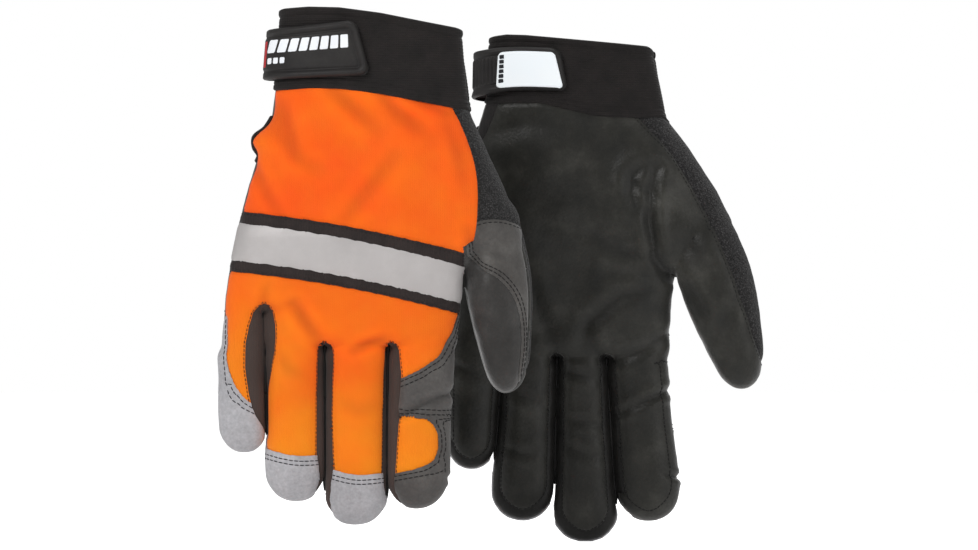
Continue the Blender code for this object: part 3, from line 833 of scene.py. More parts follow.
class Finish:
    """A node material built on one Principled shader, patterned by the stored rest place of each point."""

    def __init__(self, name, roughness, sheen=0.0):
        self.material = bpy.data.materials.new(name)
        self.material.use_nodes = True
        self.tree = self.material.node_tree
        self.shader = self.tree.nodes["Principled BSDF"]
        self.shader.inputs["Roughness"].default_value = roughness
        self.shader.inputs["Sheen Weight"].default_value = sheen * SHEEN_GAIN
        self.shader.inputs["Specular IOR Level"].default_value = SPECULAR
        self.shader.inputs["Sheen Roughness"].default_value = SHEEN_ROUGHNESS
        self.rest = self.attribute("rest").outputs["Vector"]
        self.height = None

    def node(self, kind, **values):
        """A new node, with plain values for some of its inputs."""
        node = self.tree.nodes.new("ShaderNode" + kind)
        for key, value in values.items():
            node.inputs[key.replace("_", " ")].default_value = value
        return node

    def attribute(self, name):
        """A value that is stored on the mesh."""
        node = self.node("Attribute")
        node.attribute_name = name
        return node

    def link(self, a, b):
        """Joins an output to an input."""
        self.tree.links.new(a, b)

    def place(self, turn=(0, 0, 0)):
        """The rest place in millimetres, turned by degrees round each axis."""
        node = self.node("Mapping", Rotation=[math.radians(t) for t in turn])
        self.link(self.rest, node.inputs["Vector"])
        return node.outputs["Vector"]

    def paint_relief_shade(self, colour, darkest=0.62, lightest=1.25):
        """Paints light and shade into a colour from the stored relief: painted shade down in the creases, a
        painted highlight up on the rolls.
        """
        span = self.node("MapRange", From_Min=CREASE_RELIEF[0], From_Max=CREASE_RELIEF[1], To_Min=darkest,
                         To_Max=lightest)
        self.link(self.attribute("relief").outputs["Fac"], span.inputs["Value"])
        grey = self.node("CombineColor")
        for key in ("Red", "Green", "Blue"):
            self.link(span.outputs["Result"], grey.inputs[key])
        return self.mix(colour, grey.outputs["Color"])

    def height_share(self, start, stop):
        """0 above start, 1 below stop, measured up the glove in millimetres."""
        split = self.node("SeparateXYZ")
        self.link(self.rest, split.inputs["Vector"])
        node = self.node("MapRange", From_Min=start, From_Max=stop)
        self.link(split.outputs["Z"], node.inputs["Value"])
        return node.outputs["Result"]

    def noise(self, scale, detail=3.0, roughness=0.55):
        """Cloudy noise, scale being its cycles per millimetre."""
        node = self.node("TexNoise", Scale=scale, Detail=detail, Roughness=roughness)
        self.link(self.place(), node.inputs["Vector"])
        return node.outputs["Fac"]

    def cells(self, scale, feature="F1"):
        """Distance to the nearest of scattered points, scale being how many there are per millimetre."""
        node = self.node("TexVoronoi", Scale=scale)
        node.feature = feature
        self.link(self.place(), node.inputs["Vector"])
        return node.outputs["Distance"]

    def wave(self, pitch, turn=(0, 0, 0), distortion=0.0, direction="X"):
        """Ribs across one axis of the turned place, one every pitch millimetres."""
        node = self.node("TexWave", Scale=math.pi / (10 * pitch), Distortion=distortion, Detail=1.0,
                         Detail_Scale=4.0)
        node.bands_direction = direction
        self.link(self.place(turn), node.inputs["Vector"])
        return node.outputs["Fac"]

    def maths(self, kind, *values):
        """Arithmetic on two values, each a number or another node's output."""
        node = self.node("Math")
        node.operation = kind
        for slot, value in zip(node.inputs, values):
            if isinstance(value, (int, float)):
                slot.default_value = value
            else:
                self.link(value, slot)
        return node.outputs[0]

    def ramp(self, value, stops):
        """A colour or grey read off a value through a few stops."""
        node = self.node("ValToRGB")
        ramp = node.color_ramp
        while len(ramp.elements) < len(stops):
            ramp.elements.new(0.5)
        for element, (place, colour) in zip(ramp.elements, stops):
            element.position = place
            element.color = srgb(colour) if isinstance(colour, str) else (colour,) * 3 + (1,)
        self.link(value, node.inputs["Fac"])
        return node.outputs["Color"]

    def mix(self, a, b):
        """Two colours multiplied."""
        node = self.node("Mix")
        node.data_type = "RGBA"
        node.blend_type = "MULTIPLY"
        inputs = {slot.identifier: slot for slot in node.inputs}
        inputs["Factor_Float"].default_value = 1.0
        self.link(a, inputs["A_Color"])
        self.link(b, inputs["B_Color"])
        return next(slot for slot in node.outputs if slot.identifier == "Result_Color")

    def colour(self, value):
        """Gives the shader its colour."""
        self.link(value, self.shader.inputs["Base Color"])

    def rough(self, value, low, high):
        """Gives the shader a roughness between two values."""
        node = self.node("MapRange", To_Min=low, To_Max=high)
        self.link(value, node.inputs["Value"])
        self.link(node.outputs["Result"], self.shader.inputs["Roughness"])

    def bump(self, value, distance, strength=1.0):
        """Adds relief of a depth in millimetres on top of any before it."""
        node = self.node("Bump", Distance=distance * MM, Strength=strength)
        self.link(value, node.inputs["Height"])
        if self.height is not None:
            self.link(self.height, node.inputs["Normal"])
        self.height = node.outputs["Normal"]
        self.link(self.height, self.shader.inputs["Normal"])


def knit(name, low, middle, high, roughness=0.8, sheen=0.25, depth=0.10, pitch=0.9):
    """Fine stretch knit: columns of small slanted stitches over soft changes of colour."""
    f = Finish(name, roughness, sheen)
    columns = f.wave(pitch)
    stitches = f.maths("MAXIMUM", *(f.wave(pitch * 0.7, (0, turn, 0), direction="Z") for turn in (32, -32)))
    weave = f.maths("MULTIPLY", f.maths("ADD", f.maths("MULTIPLY", columns, 0.45), 0.55), stitches)
    clouds = f.maths("MULTIPLY", f.noise(0.016, 4), 0.7)
    spread = f.maths("ADD", clouds, f.maths("MULTIPLY", f.height_share(150, 40), 0.3))
    soft = f.ramp(spread, [(0.30, low), (0.47, middle), (0.68, high)])
    tint = f.ramp(weave, [(0.0, 0.80), (0.7, 1.0)])
    # Painted shade in the creases and a painted highlight on the rolls, from the stored relief
    f.colour(f.paint_relief_shade(f.mix(soft, tint), 0.74, 1.22))
    f.bump(weave, depth)
    f.bump(f.noise(0.35, 3), 0.06, 0.5)
    f.rough(f.noise(0.09, 2), roughness - 0.08, roughness + 0.08)
    return f.material


def leather(name, low, middle, high, roughness=0.5, grain=0.9, depth=0.12, sheen=0.1):
    """Soft leather: pebbled grain, finer pores, scuffs and broad changes of tone."""
    f = Finish(name, roughness, sheen)
    pebbles = f.cells(grain, "SMOOTH_F1")
    pores = f.noise(grain * 2.6, 4, 0.65)
    tone = f.ramp(f.noise(0.05, 5, 0.62), [(0.3, low), (0.52, middle), (0.72, high)])
    grime = f.ramp(f.noise(0.5, 5, 0.7), [(0.35, 0.82), (0.62, 1.0)])
    spots = f.ramp(pebbles, [(0.0, 1.0), (0.75, 0.86)])
    # Painted shade in the creases and a painted highlight on the rolls, from the stored relief
    f.colour(f.paint_relief_shade(f.mix(f.mix(tone, grime), spots)))
    f.bump(f.maths("MULTIPLY", pebbles, -1.0), depth)
    f.bump(pores, depth * 0.5, 0.8)
    f.rough(f.noise(0.12, 4, 0.6), roughness - 0.1, roughness + 0.12)
    return f.material


def ribbed(name, low, high, pitch, turn, roughness, depth):
    """Woven tape or elastic: fine ribs with yarns across them and a little fuzz."""
    f = Finish(name, roughness, 0.2)
    ribs = f.wave(pitch, turn, 0.25)
    yarns = f.wave(pitch * 0.8, (turn[0], turn[1] + 90, turn[2]), 0.4)
    weave = f.maths("ADD", f.maths("MULTIPLY", ribs, 0.7), f.maths("MULTIPLY", yarns, 0.3))
    tone = f.ramp(f.noise(0.1, 4, 0.6), [(0.3, low), (0.7, high)])
    lint = f.ramp(f.noise(LINT, 4, 0.7), [(0.35, 0.8), (0.7, 1.12)])
    f.colour(f.mix(f.mix(tone, f.ramp(weave, [(0.0, 0.7), (0.8, 1.0)])), lint))
    f.bump(weave, depth)
    return f.material


def terry_cloth(name):
    """Looped pile: dense small loops with lighter tips."""
    f = Finish(name, 0.95, 0.45)
    loops = f.cells(1.05, "F1")
    fluff = f.noise(1.6, 5, 0.75)
    pile = f.maths("SUBTRACT", fluff, f.maths("MULTIPLY", loops, 0.6))
    f.colour(f.mix(f.ramp(pile, [(0.0, "#161515"), (0.28, "#2A2929"), (0.6, "#5A5858")]),
                   f.ramp(f.noise(0.07, 3), [(0.3, 0.85), (0.7, 1.1)])))
    f.bump(pile, 0.7)
    return f.material


def reflective(name):
    """Grey bead-coated tape: fine speckle, faint weave, dull metal shine."""
    f = Finish(name, 0.42)
    beads = f.cells(3.2)
    weave = f.maths("MULTIPLY", f.wave(0.55), f.wave(0.55, (0, 90, 0)))
    tone = f.ramp(f.noise(0.04, 4, 0.6), [(0.3, "#B4B0AF"), (0.7, "#C2BEBD")])
    fine = f.ramp(f.maths("ADD", f.maths("MULTIPLY", beads, 0.6), f.maths("MULTIPLY", weave, 0.4)),
                  [(0.0, 0.93), (0.6, 1.0)])
    f.colour(f.mix(tone, fine))
    f.shader.inputs["Metallic"].default_value = 0.15
    f.bump(beads, 0.03)
    f.bump(weave, 0.03)
    f.bump(f.noise(0.18, 2), 0.25, 0.6)
    return f.material


def moulded(name, low, high, roughness=0.5, depth=0.04, dust=(0.96, 1.25), glow=0.0):
    """Satin rubber: fine mould texture, faint dust and softer patches of shine, with glow as a painted glow
    from emission, since the piece is no lamp.
    """
    f = Finish(name, roughness)
    tone = f.ramp(f.noise(0.08, 4, 0.6), [(0.3, low), (0.7, high)])
    specks = f.ramp(f.noise(1.1, 5, 0.7), [(0.45, dust[0]), (0.8, dust[1])])
    f.colour(f.mix(tone, specks))
    # Emission at the glow strength is painted light: the piece glows though it is no lamp
    f.shader.inputs["Emission Color"].default_value = (1, 1, 1, 1)
    f.shader.inputs["Emission Strength"].default_value = glow
    f.bump(f.noise(2.4, 3, 0.6), depth)
    f.rough(f.noise(0.2, 4, 0.6), roughness - 0.08, roughness + 0.14)
    return f.material


def thread(name, low, high):
    """Twisted sewing thread."""
    f = Finish(name, 0.6, 0.2)
    twist = f.wave(0.35, (0, 40, 0))
    f.colour(f.mix(f.ramp(f.noise(0.6, 2), [(0.3, low), (0.7, high)]), f.ramp(twist, [(0, 0.6), (0.8, 1)])))
    f.bump(twist, 0.06)
    return f.material


# Each look's material, and the slot it fills in the part's record
MATERIALS = {
    "knit": (knit("hi_vis_knit", "#FF5A03", "#FF7205", "#FF910E"), "orange_knit"),
    "strip": (knit("gusset_knit", "#352A27", "#40342F", "#4C403C", 0.85, 0.3, 0.12, 1.1), "black_band"),
    "cap": (leather("light_grey_leather", "#B2B1B5", "#BEBDC1", "#C8C7CB", 0.55, 0.9, 0.08, 0.3),
            "light_grey_leather"),
    "index_leather": (leather("dark_grey_leather", "#484543", "#555250", "#63605D", 0.5, 0.9, 0.1, 0.9),
                      "dark_grey_leather"),
    "thumb_back": (leather("dark_grey_leather_thumb", "#3F3C3A", "#4F4C49", "#62605D", 0.46, 0.9, 0.1, 1.2),
                   "dark_grey_leather"),
    # The thumb's inner face takes a darker copy of the same dark grey leather: painted shade on the side that
    # turns inwards
    "thumb_inner": (leather("dark_grey_leather_thumb_inner", "#272523", "#353331", "#494745", 0.46, 0.9, 0.1,
                            1.1), "dark_grey_leather"),
    "palm": (leather("black_leather", "#171713", "#272621", "#3B3A35", 0.4, 0.8, 0.10, 0.7), "black_leather"),
    "rim": (leather("black_leather_welt", "#191817", "#22211F", "#2C2B29", 0.5, 0.9, 0.10), "black_leather"),
    "terry": (terry_cloth("terry"), "terry"),
    "band": (ribbed("black_band", "#261E1D", "#342A28", 0.8, (0, 0, 0), 0.7, 0.16), "black_band"),
    "tape": (reflective("silver_tape"), "silver_tape"),
    "elastic": (ribbed("black_elastic", "#171413", "#241F1E", 1.1, (0, 90, 0), 0.8, 0.16), "elastic"),
    "rubber": (moulded("black_rubber", "#211F1F", "#2C2A29"), "rubber"),
    "hook": (ribbed("hook_nylon", "#191817", "#262423", 0.9, (0, 45, 0), 0.8, 0.3), "hook_nylon"),
    # The white name panel glows at 0.12: painted light that makes it brighter than the lamps light it
    "white": (moulded("white_panel", "#F2F9FE", "#F7FCFF", 0.4, 0.01, (0.99, 1.0), 0.12), "white_panel"),
    "print": (moulded("white_print", "#F0F4FA", "#FAFCFF", 0.5, 0.01, (0.99, 1.0)), "white_panel"),
    "mark": (moulded("dark_print", "#1B1C20", "#25262B", 0.5, 0.01, (0.99, 1.0)), "rubber"),
    "red": (moulded("red_print", "#A8262B", "#C43338", 0.5, 0.03), "rubber"),
    "binding": (ribbed("black_binding", "#1E1B1B", "#2C2827", 0.7, (0, 0, 0), 0.75, 0.15), "black_band"),
    "thread_dark": (thread("dark_thread", "#232224", "#343337"), "black_band"),
    "thread_black": (thread("black_thread", "#0E0D0D", "#1A1918"), "black_band"),
}


# ---------------------------------------------------------------- making pieces

def add_piece(glove, name, points, faces, finish, loop_normals=None, relief=None):
    """A mesh piece from points in the glove's own millimetres, with its rest place stored for patterns."""
    points = np.asarray(points, float)
    if glove.palm < 0:
        faces = [tuple(face[::-1]) for face in faces]
        if loop_normals is not None:
            loop_normals = [normals[::-1] for normals in loop_normals]
    obj = bpy.data.objects.new(name, new_mesh(name, glove.to_world(points), faces))
    bpy.context.collection.objects.link(obj)
    mesh = obj.data
    rest = mesh.attributes.new("rest", "FLOAT_VECTOR", "POINT")
    rest.data.foreach_set("vector", points.astype(np.float32).ravel())
    # The stored relief sets the materials' painted shade in creases and painted highlight on rolls
    if relief is not None:
        mesh.attributes.new("relief", "FLOAT", "POINT").data.foreach_set("value", relief.astype(np.float32))
    mesh.polygons.foreach_set("use_smooth", [True] * len(mesh.polygons))
    if loop_normals is not None:
        flat = np.concatenate(loop_normals) * np.array([1.0, glove.palm, 1.0])
        mesh.normals_split_custom_set(flat.tolist())
    material, slot = MATERIALS[finish]
    mesh.materials.append(material)
    return obj


def closed_sheet(outer, inner, normals, triangles):
    """A closed sheet over part of a surface: outer side, inner side and walls round the edge."""
    used, local = np.unique(triangles, return_inverse=True)
    local = local.reshape(-1, 3)
    count = len(used)
    edges = np.concatenate([local[:, (i, (i + 1) % 3)] for i in range(3)])
    keys = edges[:, 0] * count + edges[:, 1]
    twins = edges[:, 1] * count + edges[:, 0]
    open_edges = edges[~np.isin(keys, twins)]
    points = np.vstack((outer[used], inner[used]))
    walls = [(b, a, a + count, b + count) for a, b in open_edges.tolist()]
    sides = np.concatenate((local, local[:, ::-1] + count))
    faces = [tuple(t) for t in sides.tolist()] + walls
    n = normals[used]
    loops = list(n[local]) + list(-n[local[:, ::-1]])
    for a, b, c, _ in walls:
        normal = np.cross(points[b] - points[a], points[c] - points[a])
        loops.append(np.tile(normal / max(np.linalg.norm(normal), 1e-12), (4, 1)))
    return points, faces, loops


def attach(glove, obj, zone):
    """Makes a piece ride with the hand if its zone is the hand; a piece of any other zone only has its place
    baked into its mesh.
    """
    hand = f"{glove.name}_hand"
    if zone == "hand":
        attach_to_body(obj, hand)
        return
    digit, part = zone.split("_")
    joint = glove.joint(f"{digit}_{'knuckle' if part == 'base' else 'middle_joint'}")
    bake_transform(obj)


# How far each panel's sheet stands proud of the skin
LIFT = {"cap": 0.6, "index_leather": 0.6, "band": 0.6, "tape": 0.95, "thumb_back": 0.3, "palm": 0.45,
        "terry": 0.35, "strip": -0.1, "rim": -0.15}


def replaced_nodes():
    """The CAD node that each panel and zone stands in for."""
    nodes = {
        ("knit", "hand"): "back_panel", ("palm", "hand"): "palm_panel", ("terry", "hand"): "terry_panel",
        ("band", "hand"): "tape_backing", ("tape", "hand"): "reflective_tape",
        ("palm", "thumb_base"): "thumb_base_palm", ("thumb_back", "thumb_base"): "thumb_base_back",
        ("palm", "thumb_tip"): "thumb_tip",
    }
    for name in FINGERS:
        base, tip = ("index_leather",) * 2 if name == "index" else ("knit", "cap")
        nodes[(base, f"{name}_base")] = f"{name}_base_back"
        nodes[("palm", f"{name}_base")] = f"{name}_base_palm"
        nodes[(tip, f"{name}_tip")] = f"{name}_tip_back"
        nodes[("palm", f"{name}_tip")] = f"{name}_tip_palm"
    return nodes


# Waves in each octave of the noise
LUMP_WAVES = 6
# The seams' groove, narrow and wide, as (depth, width), and the filling between seams, as (height, width)
SEAM_GROOVES = ((0.55, 0.9), (0.25, 3.2))
PUFF = (0.35, 5.0)
# Soft unevenness of the cloth, as (height, size, seed), and its share in the relief that paints shade and
# highlight into the colour
SOFT_LUMPS = ((0.38, 46.0, 3), (0.12, 15.0, 5))
SOFT_SHADE_SHARE = 0.6
# How deep the cloth goes in under the cuff
UNDER_CUFF = 1.3
# How far apart the facing sides of neighbouring fingers end up, and the most they are moved
MEETING_GAP, MOST_MOVED = 0.22, 4.2


def lumps(points, scale, seed):
    """Smooth fixed noise at points, about -1 to 1."""
    total = np.zeros(len(points))
    rng = np.random.default_rng(seed)
    for octave in range(3):
        for _ in range(LUMP_WAVES):
            way = rng.normal(size=3)
            way /= np.linalg.norm(way)
            phase = rng.uniform(0, 2 * math.pi)
            freq = 2 * math.pi / (scale * 0.62 ** octave)
            total += np.sin(points @ way * freq + phase) * 0.6 ** octave
    return total / LUMP_WAVES


class Skin:
    """A glove's whole surface cut into panels and zones."""

    def __init__(self, glove):
        self.glove = glove
        points, triangles = base_skin(glove)
        for edge in every_edge():
            points, triangles = cut(points, triangles, lambda p, e=edge: e(Fields(glove, p)))
        fields = Fields(glove, points[triangles].mean(axis=1))
        self.panel, self.zone, self.inside = panels_of(fields), zones_of(fields), fields.cuff() < 0
        self.points, self.triangles = points, triangles
        self.flat_points = points
        self.shape_surface()

    def seam_edges(self):
        """Every edge where two panels meet, as pairs of points."""
        t = self.triangles
        edges = np.concatenate([np.sort(t[:, (i, (i + 1) % 3)], axis=1) for i in range(3)])
        keys = edges[:, 0] * len(self.points) + edges[:, 1]
        order = np.argsort(keys, kind="stable")
        keys, panel, edges = keys[order], np.tile(self.panel, 3)[order], edges[order]
        return edges[1:][(keys[1:] == keys[:-1]) & (panel[1:] != panel[:-1])]

    def seam_reach(self):
        """Each point's distance to the nearest seam."""
        first, second = (self.points[ends] for ends in self.seam_edges().T)
        places = np.vstack([first, second, (first + second) / 2])
        tree = KDTree(len(places))
        for i, place in enumerate(places):
            tree.insert(place, i)
        tree.balance()
        return np.array([tree.find(point)[2] for point in self.points])

    def shape_surface(self):
        """Moves the skin along its normals: seams, filling, creases, rises, and the edge under the cuff."""
        normals = vertex_normals(self.points, self.triangles)
        reach = self.seam_reach()
        (narrow, near), (wide, far) = SEAM_GROOVES
        groove = -narrow * bell(reach, near) - wide * bell(reach, far)
        f = Fields(self.glove, self.points)
        puff = PUFF[0] * (1 - bell(reach, PUFF[1]))
        broad, fine = (height * lumps(self.points, size, seed) for height, size, seed in SOFT_LUMPS)
        soft = broad + fine
        creases = folds(f)
        # Relief for the colour: painted shade in creases and in the hollows of the lumps, painted highlight
        # on rolls and rises
        self.relief = creases + SOFT_SHADE_SHARE * soft
        move = groove + puff + soft + creases + mounds(f) + vent_bulge(self.glove, f)
        low = cuff_edges(self.glove, f.u, f.v)[0]
        under = np.clip((f.z - low + 0.5) / 3.0, 0, 1)
        move = move * (1 - under) - UNDER_CUFF * under
        self.points = self.points + normals * move[:, None]
        self.meet_fingers()
        self.normals = vertex_normals(self.points, self.triangles)

    def meet_fingers(self):
        """Moves the facing sides of neighbouring fingers until they all but touch, measured on this skin."""
        glove = self.glove
        u, z = self.points[:, 0].copy(), self.points[:, 2]
        gaps = glove.gaps(z)
        which = sum((u > m).astype(int) for m in gaps)
        free = u < glove.thumb_limit(z)
        for k, top in enumerate(glove.shape["slot_tops"]):
            levels = np.arange(glove.shape["knuckle_z"] - 90, top, 1.2)
            for finger, way in ((k, 1), (k + 1, -1)):
                mine = (which == finger) & free & (z < top)
                room = (gaps[k] - u) * way
                nearest = []
                for level in levels:
                    here = mine & (np.abs(z - level) < 1.3)
                    nearest.append(room[here].min() if here.any() else 12.0)
                smooth = np.convolve(np.pad(nearest, 1, "edge"), (0.25, 0.5, 0.25), "valid")
                need = np.interp(z, levels, smooth) - MEETING_GAP
                fade = step_down(z, top - 0.3, 2.2) * step_down(need, MOST_MOVED, 2.0)
                centre, half = glove.finger(FINGERS[finger], z)[:2]
                near = np.clip(((u - centre) * way + half) / (2 * half), 0, 1)
                tip_z = glove.shape["fingers"][FINGERS[finger]][5]
                fade = fade * np.clip((z - tip_z - 7.0) / 6.0, 0, 1)
                self.points[:, 0] += np.where(mine, need * fade * near * way, 0)

    def add_pieces(self):
        """A closed sheet for each panel in each zone."""
        nodes = replaced_nodes()
        inner = self.points - self.normals * CLOTH_WALL
        for p, panel_name in enumerate(PANELS):
            outer = self.points + self.normals * LIFT.get(panel_name, 0.0)
            for z, zone_name in enumerate(ZONES):
                mine = (self.panel == p) & (self.zone == z) & self.inside
                if mine.sum() < 3:
                    continue
                triangles = self.triangles[mine]
                points, faces, loops = closed_sheet(outer, inner, self.normals, triangles)
                relief = np.tile(self.relief[np.unique(triangles)], 2)
                name = f"{self.glove.name}_{panel_name}_{zone_name}"
                obj = add_piece(self.glove, name, points, faces, panel_name, loops, relief)
                attach(self.glove, obj, zone_name)
                if (panel_name, zone_name) in nodes:
                    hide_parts(f"{self.glove.name}_{nodes[(panel_name, zone_name)]}")


# ---------------------------------------------------------------- creases and rises

# Creases: which side they're on (1 palm, -1 back, 0 both), their course as (u, z), depth and width
PALM_FOLDS = (
    (1, [(50.5, 131.5), (46.0, 134.5), (42.0, 140.4), (39.6, 157.2), (40.2, 173.5), (42.9, 185)], 2.4, 2.6),
    (1, [(43.0, 184.5), (36.6, 185.5), (30.5, 181.0), (29.5, 173.0), (33.3, 165.0), (37.9, 158.7)], 1.3, 3.0),
    (1, [(36.0, 177.0), (35.0, 171.0)], 1.5, 5.5),
    (1, [(50.0, 132.0), (34.6, 138.9), (18.1, 148.8), (1.7, 157.2)], 1.5, 4.2),
    (1, [(50.0, 131.0), (34.0, 131.5), (18.0, 133.3)], 1.0, 2.6),
    (1, [(-7.4, 93.0), (-16.5, 115.8), (-24.7, 143.9)], 0.9, 3.6),
    (1, [(6.6, 92.8), (6.6, 102.7), (9.9, 109.2), (24.7, 120.8), (47.8, 129.0)], 1.1, 3.2),
    (1, [(14.0, 92.0), (8.5, 100.0)], 1.0, 2.6),
    (1, [(52.0, 104.8), (41.2, 97.7), (23.0, 89.5)], 1.2, 2.6),
    (0, [(54.0, 76.5), (44.0, 72.5), (34.6, 68.1), (22.3, 62.3)], 1.5, 1.8),
    (0, [(58.0, 30.0), (52.5, 31.8), (46.0, 33.5)], 1.5, 1.3),
    (1, [(-2.0, 84.0), (6.0, 82.5), (15.0, 79.0)], 0.7, 2.2),
    (1, [(2.0, 60.0), (9.0, 59.0), (16.5, 56.0)], 0.8, 2.0),
    (1, [(-1.0, 47.0), (8.0, 43.0), (17.0, 41.0)], 0.7, 2.4),
    (1, [(-31.0, 76.0), (-21.0, 71.0), (-12.0, 66.0)], 0.8, 2.4),
    (1, [(-31.0, 46.0), (-22.0, 43.0), (-14.0, 44.0)], 0.6, 2.0),
    (1, [(-60.0, 88.0), (-50.0, 84.0), (-42.0, 78.0)], 0.8, 2.4),
    (1, [(58.0, 128.0), (64.0, 118.0), (67.0, 108.0)], 0.8, 2.6),
    (1, [(56.0, 150.0), (64.0, 138.0), (74.0, 130.0)], 0.7, 3.4),
    (1, [(66.0, 98.0), (76.0, 108.0), (81.0, 118.0)], 0.7, 3.0),
    (1, [(-44.0, 200.0), (-20.0, 206.0), (10.0, 202.0)], 0.7, 4.5),
    (1, [(-50.0, 160.0), (-30.0, 168.0), (-8.0, 170.0)], 0.7, 5.0),
)
BACK_FOLDS = (
    (-1, [(-8.0, 221.0), (2.0, 212.0), (16.0, 200.0)], 1.3, 3.4),
    (-1, [(15.0, 219.0), (23.0, 211.0), (34.0, 204.0)], 1.3, 2.8),
    (-1, [(26.0, 218.0), (38.0, 214.0), (50.0, 210.0)], 0.9, 2.2),
    (-1, [(-33.0, 214.0), (-30.0, 204.0), (-25.0, 192.0)], 1.2, 3.4),
    (-1, [(-50.0, 189.0), (-46.0, 183.8), (-40.0, 170.2), (-32.7, 159.3)], 0.9, 2.6),
    (-1, [(22.0, 189.0), (7.3, 170.0), (-3.9, 155.7)], 0.8, 3.4),
    (-1, [(-38.0, 212.0), (-35.0, 200.7), (-25.7, 188.6), (-14.0, 182.0)], 0.9, 3.2),
    (-1, [(10.0, 214.0), (22.0, 206.0), (41.0, 198.0)], 0.8, 3.4),
    (-1, [(46.0, 208.0), (53.0, 190.0), (56.0, 172.0)], 0.7, 3.0),
    (-1, [(-27.0, 117.0), (-22.5, 110.0), (-14.0, 98.5)], 1.5, 2.8),
    (-1, [(2.0, 95.0), (9.0, 98.0), (18.0, 100.5)], 1.3, 2.2),
    (-1, [(-40.0, 126.0), (-41.5, 120.0), (-40.6, 114.0)], 0.7, 2.4),
    (-1, [(-34.0, 92.0), (-30.0, 86.0), (-22.0, 82.0)], 0.6, 2.8),
    (-1, [(-4.0, 70.0), (4.0, 66.0), (13.0, 68.0)], 0.45, 3.0),
    (-1, [(60.0, 146.0), (70.0, 142.0), (80.0, 137.0)], 0.9, 2.4),
    (-1, [(66.0, 135.0), (74.0, 133.0), (82.0, 126.0)], 0.7, 2.0),
    (-1, [(58.0, 152.0), (62.0, 136.0), (60.0, 126.0)], 1.1, 3.0),
    (-1, [(62.0, 112.0), (68.0, 108.0), (72.0, 100.0)], 0.8, 2.6),
)


# The roll beside a crease: its height as a share of the depth, and where it is, in widths
ROLL_HEIGHT, ROLL_AT = 0.42, 2.1


def path_distance(u, z, path):
    """Distance to a polyline, and how far along it the nearest place is, from 0 to 1."""
    best, along = np.full(len(u), 1e9), np.zeros(len(u))
    count = len(path) - 1
    for i, ((u0, z0), (u1, z1)) in enumerate(zip(path, path[1:])):
        du, dz = u1 - u0, z1 - z0
        share = np.clip(((u - u0) * du + (z - z0) * dz) / (du * du + dz * dz), 0, 1)
        d = np.hypot(u - u0 - share * du, z - z0 - share * dz)
        near = d < best
        best = np.where(near, d, best)
        along = np.where(near, (i + share) / count, along)
    return best, along


def folds(f):
    """Creases, and the raised rolls beside them, in millimetres along the surface normal."""
    total = np.zeros(len(f.u))
    for side, path, depth, width in PALM_FOLDS + BACK_FOLDS:
        distance, along = path_distance(f.u, f.z, path)
        fade = np.sin(np.clip(along * 0.86 + 0.10, 0, 1) * math.pi) ** 0.6
        level = f.v - np.where(f.in_thumb, THUMB_SHIFT, 0)
        facing = 1.0 if side == 0 else np.clip(side * level / 4.0, 0, 1)
        roll = ROLL_HEIGHT * bell(distance - ROLL_AT * width, width)
        total += depth * fade * facing * (roll - bell(distance, width))
    return total


# Broad rises and hollows: side, place as (u, z), height, radius
MOUNDS = (
    (1, (58.0, 148.0), 1.6, 17.0), (1, (4.0, 134.0), -2.4, 24.0), (1, (-36.0, 160.0), 1.6, 20.0),
    (1, (-14.0, 188.0), 1.2, 16.0), (1, (20.0, 196.0), -1.2, 14.0), (1, (30.0, 166.0), 1.0, 8.0),
    (1, (38.0, 112.0), 1.0, 12.0), (-1, (-24.0, 176.0), 0.9, 14.0), (-1, (26.0, 190.0), 1.0, 14.0),
    (-1, (40.0, 160.0), -0.8, 12.0), (-1, (66.0, 124.0), 0.9, 9.0),
)


def mounds(f):
    """The broad rises and hollows, in millimetres along the surface normal."""
    total = np.zeros(len(f.u))
    for side, (u, z), height, radius in MOUNDS:
        near = np.exp(-((f.u - u) ** 2 + (f.z - z) ** 2) / radius ** 2)
        total += height * near * np.clip(side * f.v / 6.0, 0, 1)
    return total


# The flap's height, and how far it reaches above and below the vent
VENT_BULGE = 5.6
VENT_SPREAD = (7.5, 3.4)


def vent_bulge(glove, f):
    """The flap beside the vent, which stands out from the wrist and ends sharply at the bottom."""
    above = f.z - glove.shape["vent"]
    spread = np.where(above > 0, *VENT_SPREAD)
    return VENT_BULGE * bell(above, spread) * step_down(f.u, -28, 8) * bell(f.v, 7.0)


# ---------------------------------------------------------------- seams

def contour(points, normals, triangles, values):
    """The paths along a surface where values pass through zero, as (places, normals)."""
    values = off_zero(values)
    count = (values[triangles] > 0).sum(1)
    rows = np.flatnonzero(((count == 1) | (count == 2)) & np.isfinite(values[triangles]).all(axis=1))
    links = {}
    for row in rows:
        ends = []
        for i in range(3):
            a, b = sorted((int(triangles[row, i]), int(triangles[row, (i + 1) % 3])))
            if (values[a] > 0) != (values[b] > 0):
                ends.append((a, b))
        links.setdefault(ends[0], []).append(ends[1])
        links.setdefault(ends[1], []).append(ends[0])
    paths, seen = [], set()
    starts = [key for key in links if len(links[key]) == 1] + list(links)
    for start in starts:
        if start in seen:
            continue
        path, here = [start], start
        seen.add(start)
        while True:
            onward = [key for key in links[here] if key not in seen]
            if not onward:
                break
            here = onward[0]
            seen.add(here)
            path.append(here)
        if len(path) < 3:
            continue
        if len(links[start]) == 2 and start in links[path[-1]]:
            path.append(start)
        a, b = np.array(path).T
        share = (values[a] / (values[a] - values[b]))[:, None]
        places = points[a] + (points[b] - points[a]) * share
        paths.append((places, unit(normals[a] + (normals[b] - normals[a]) * share)))
    return paths


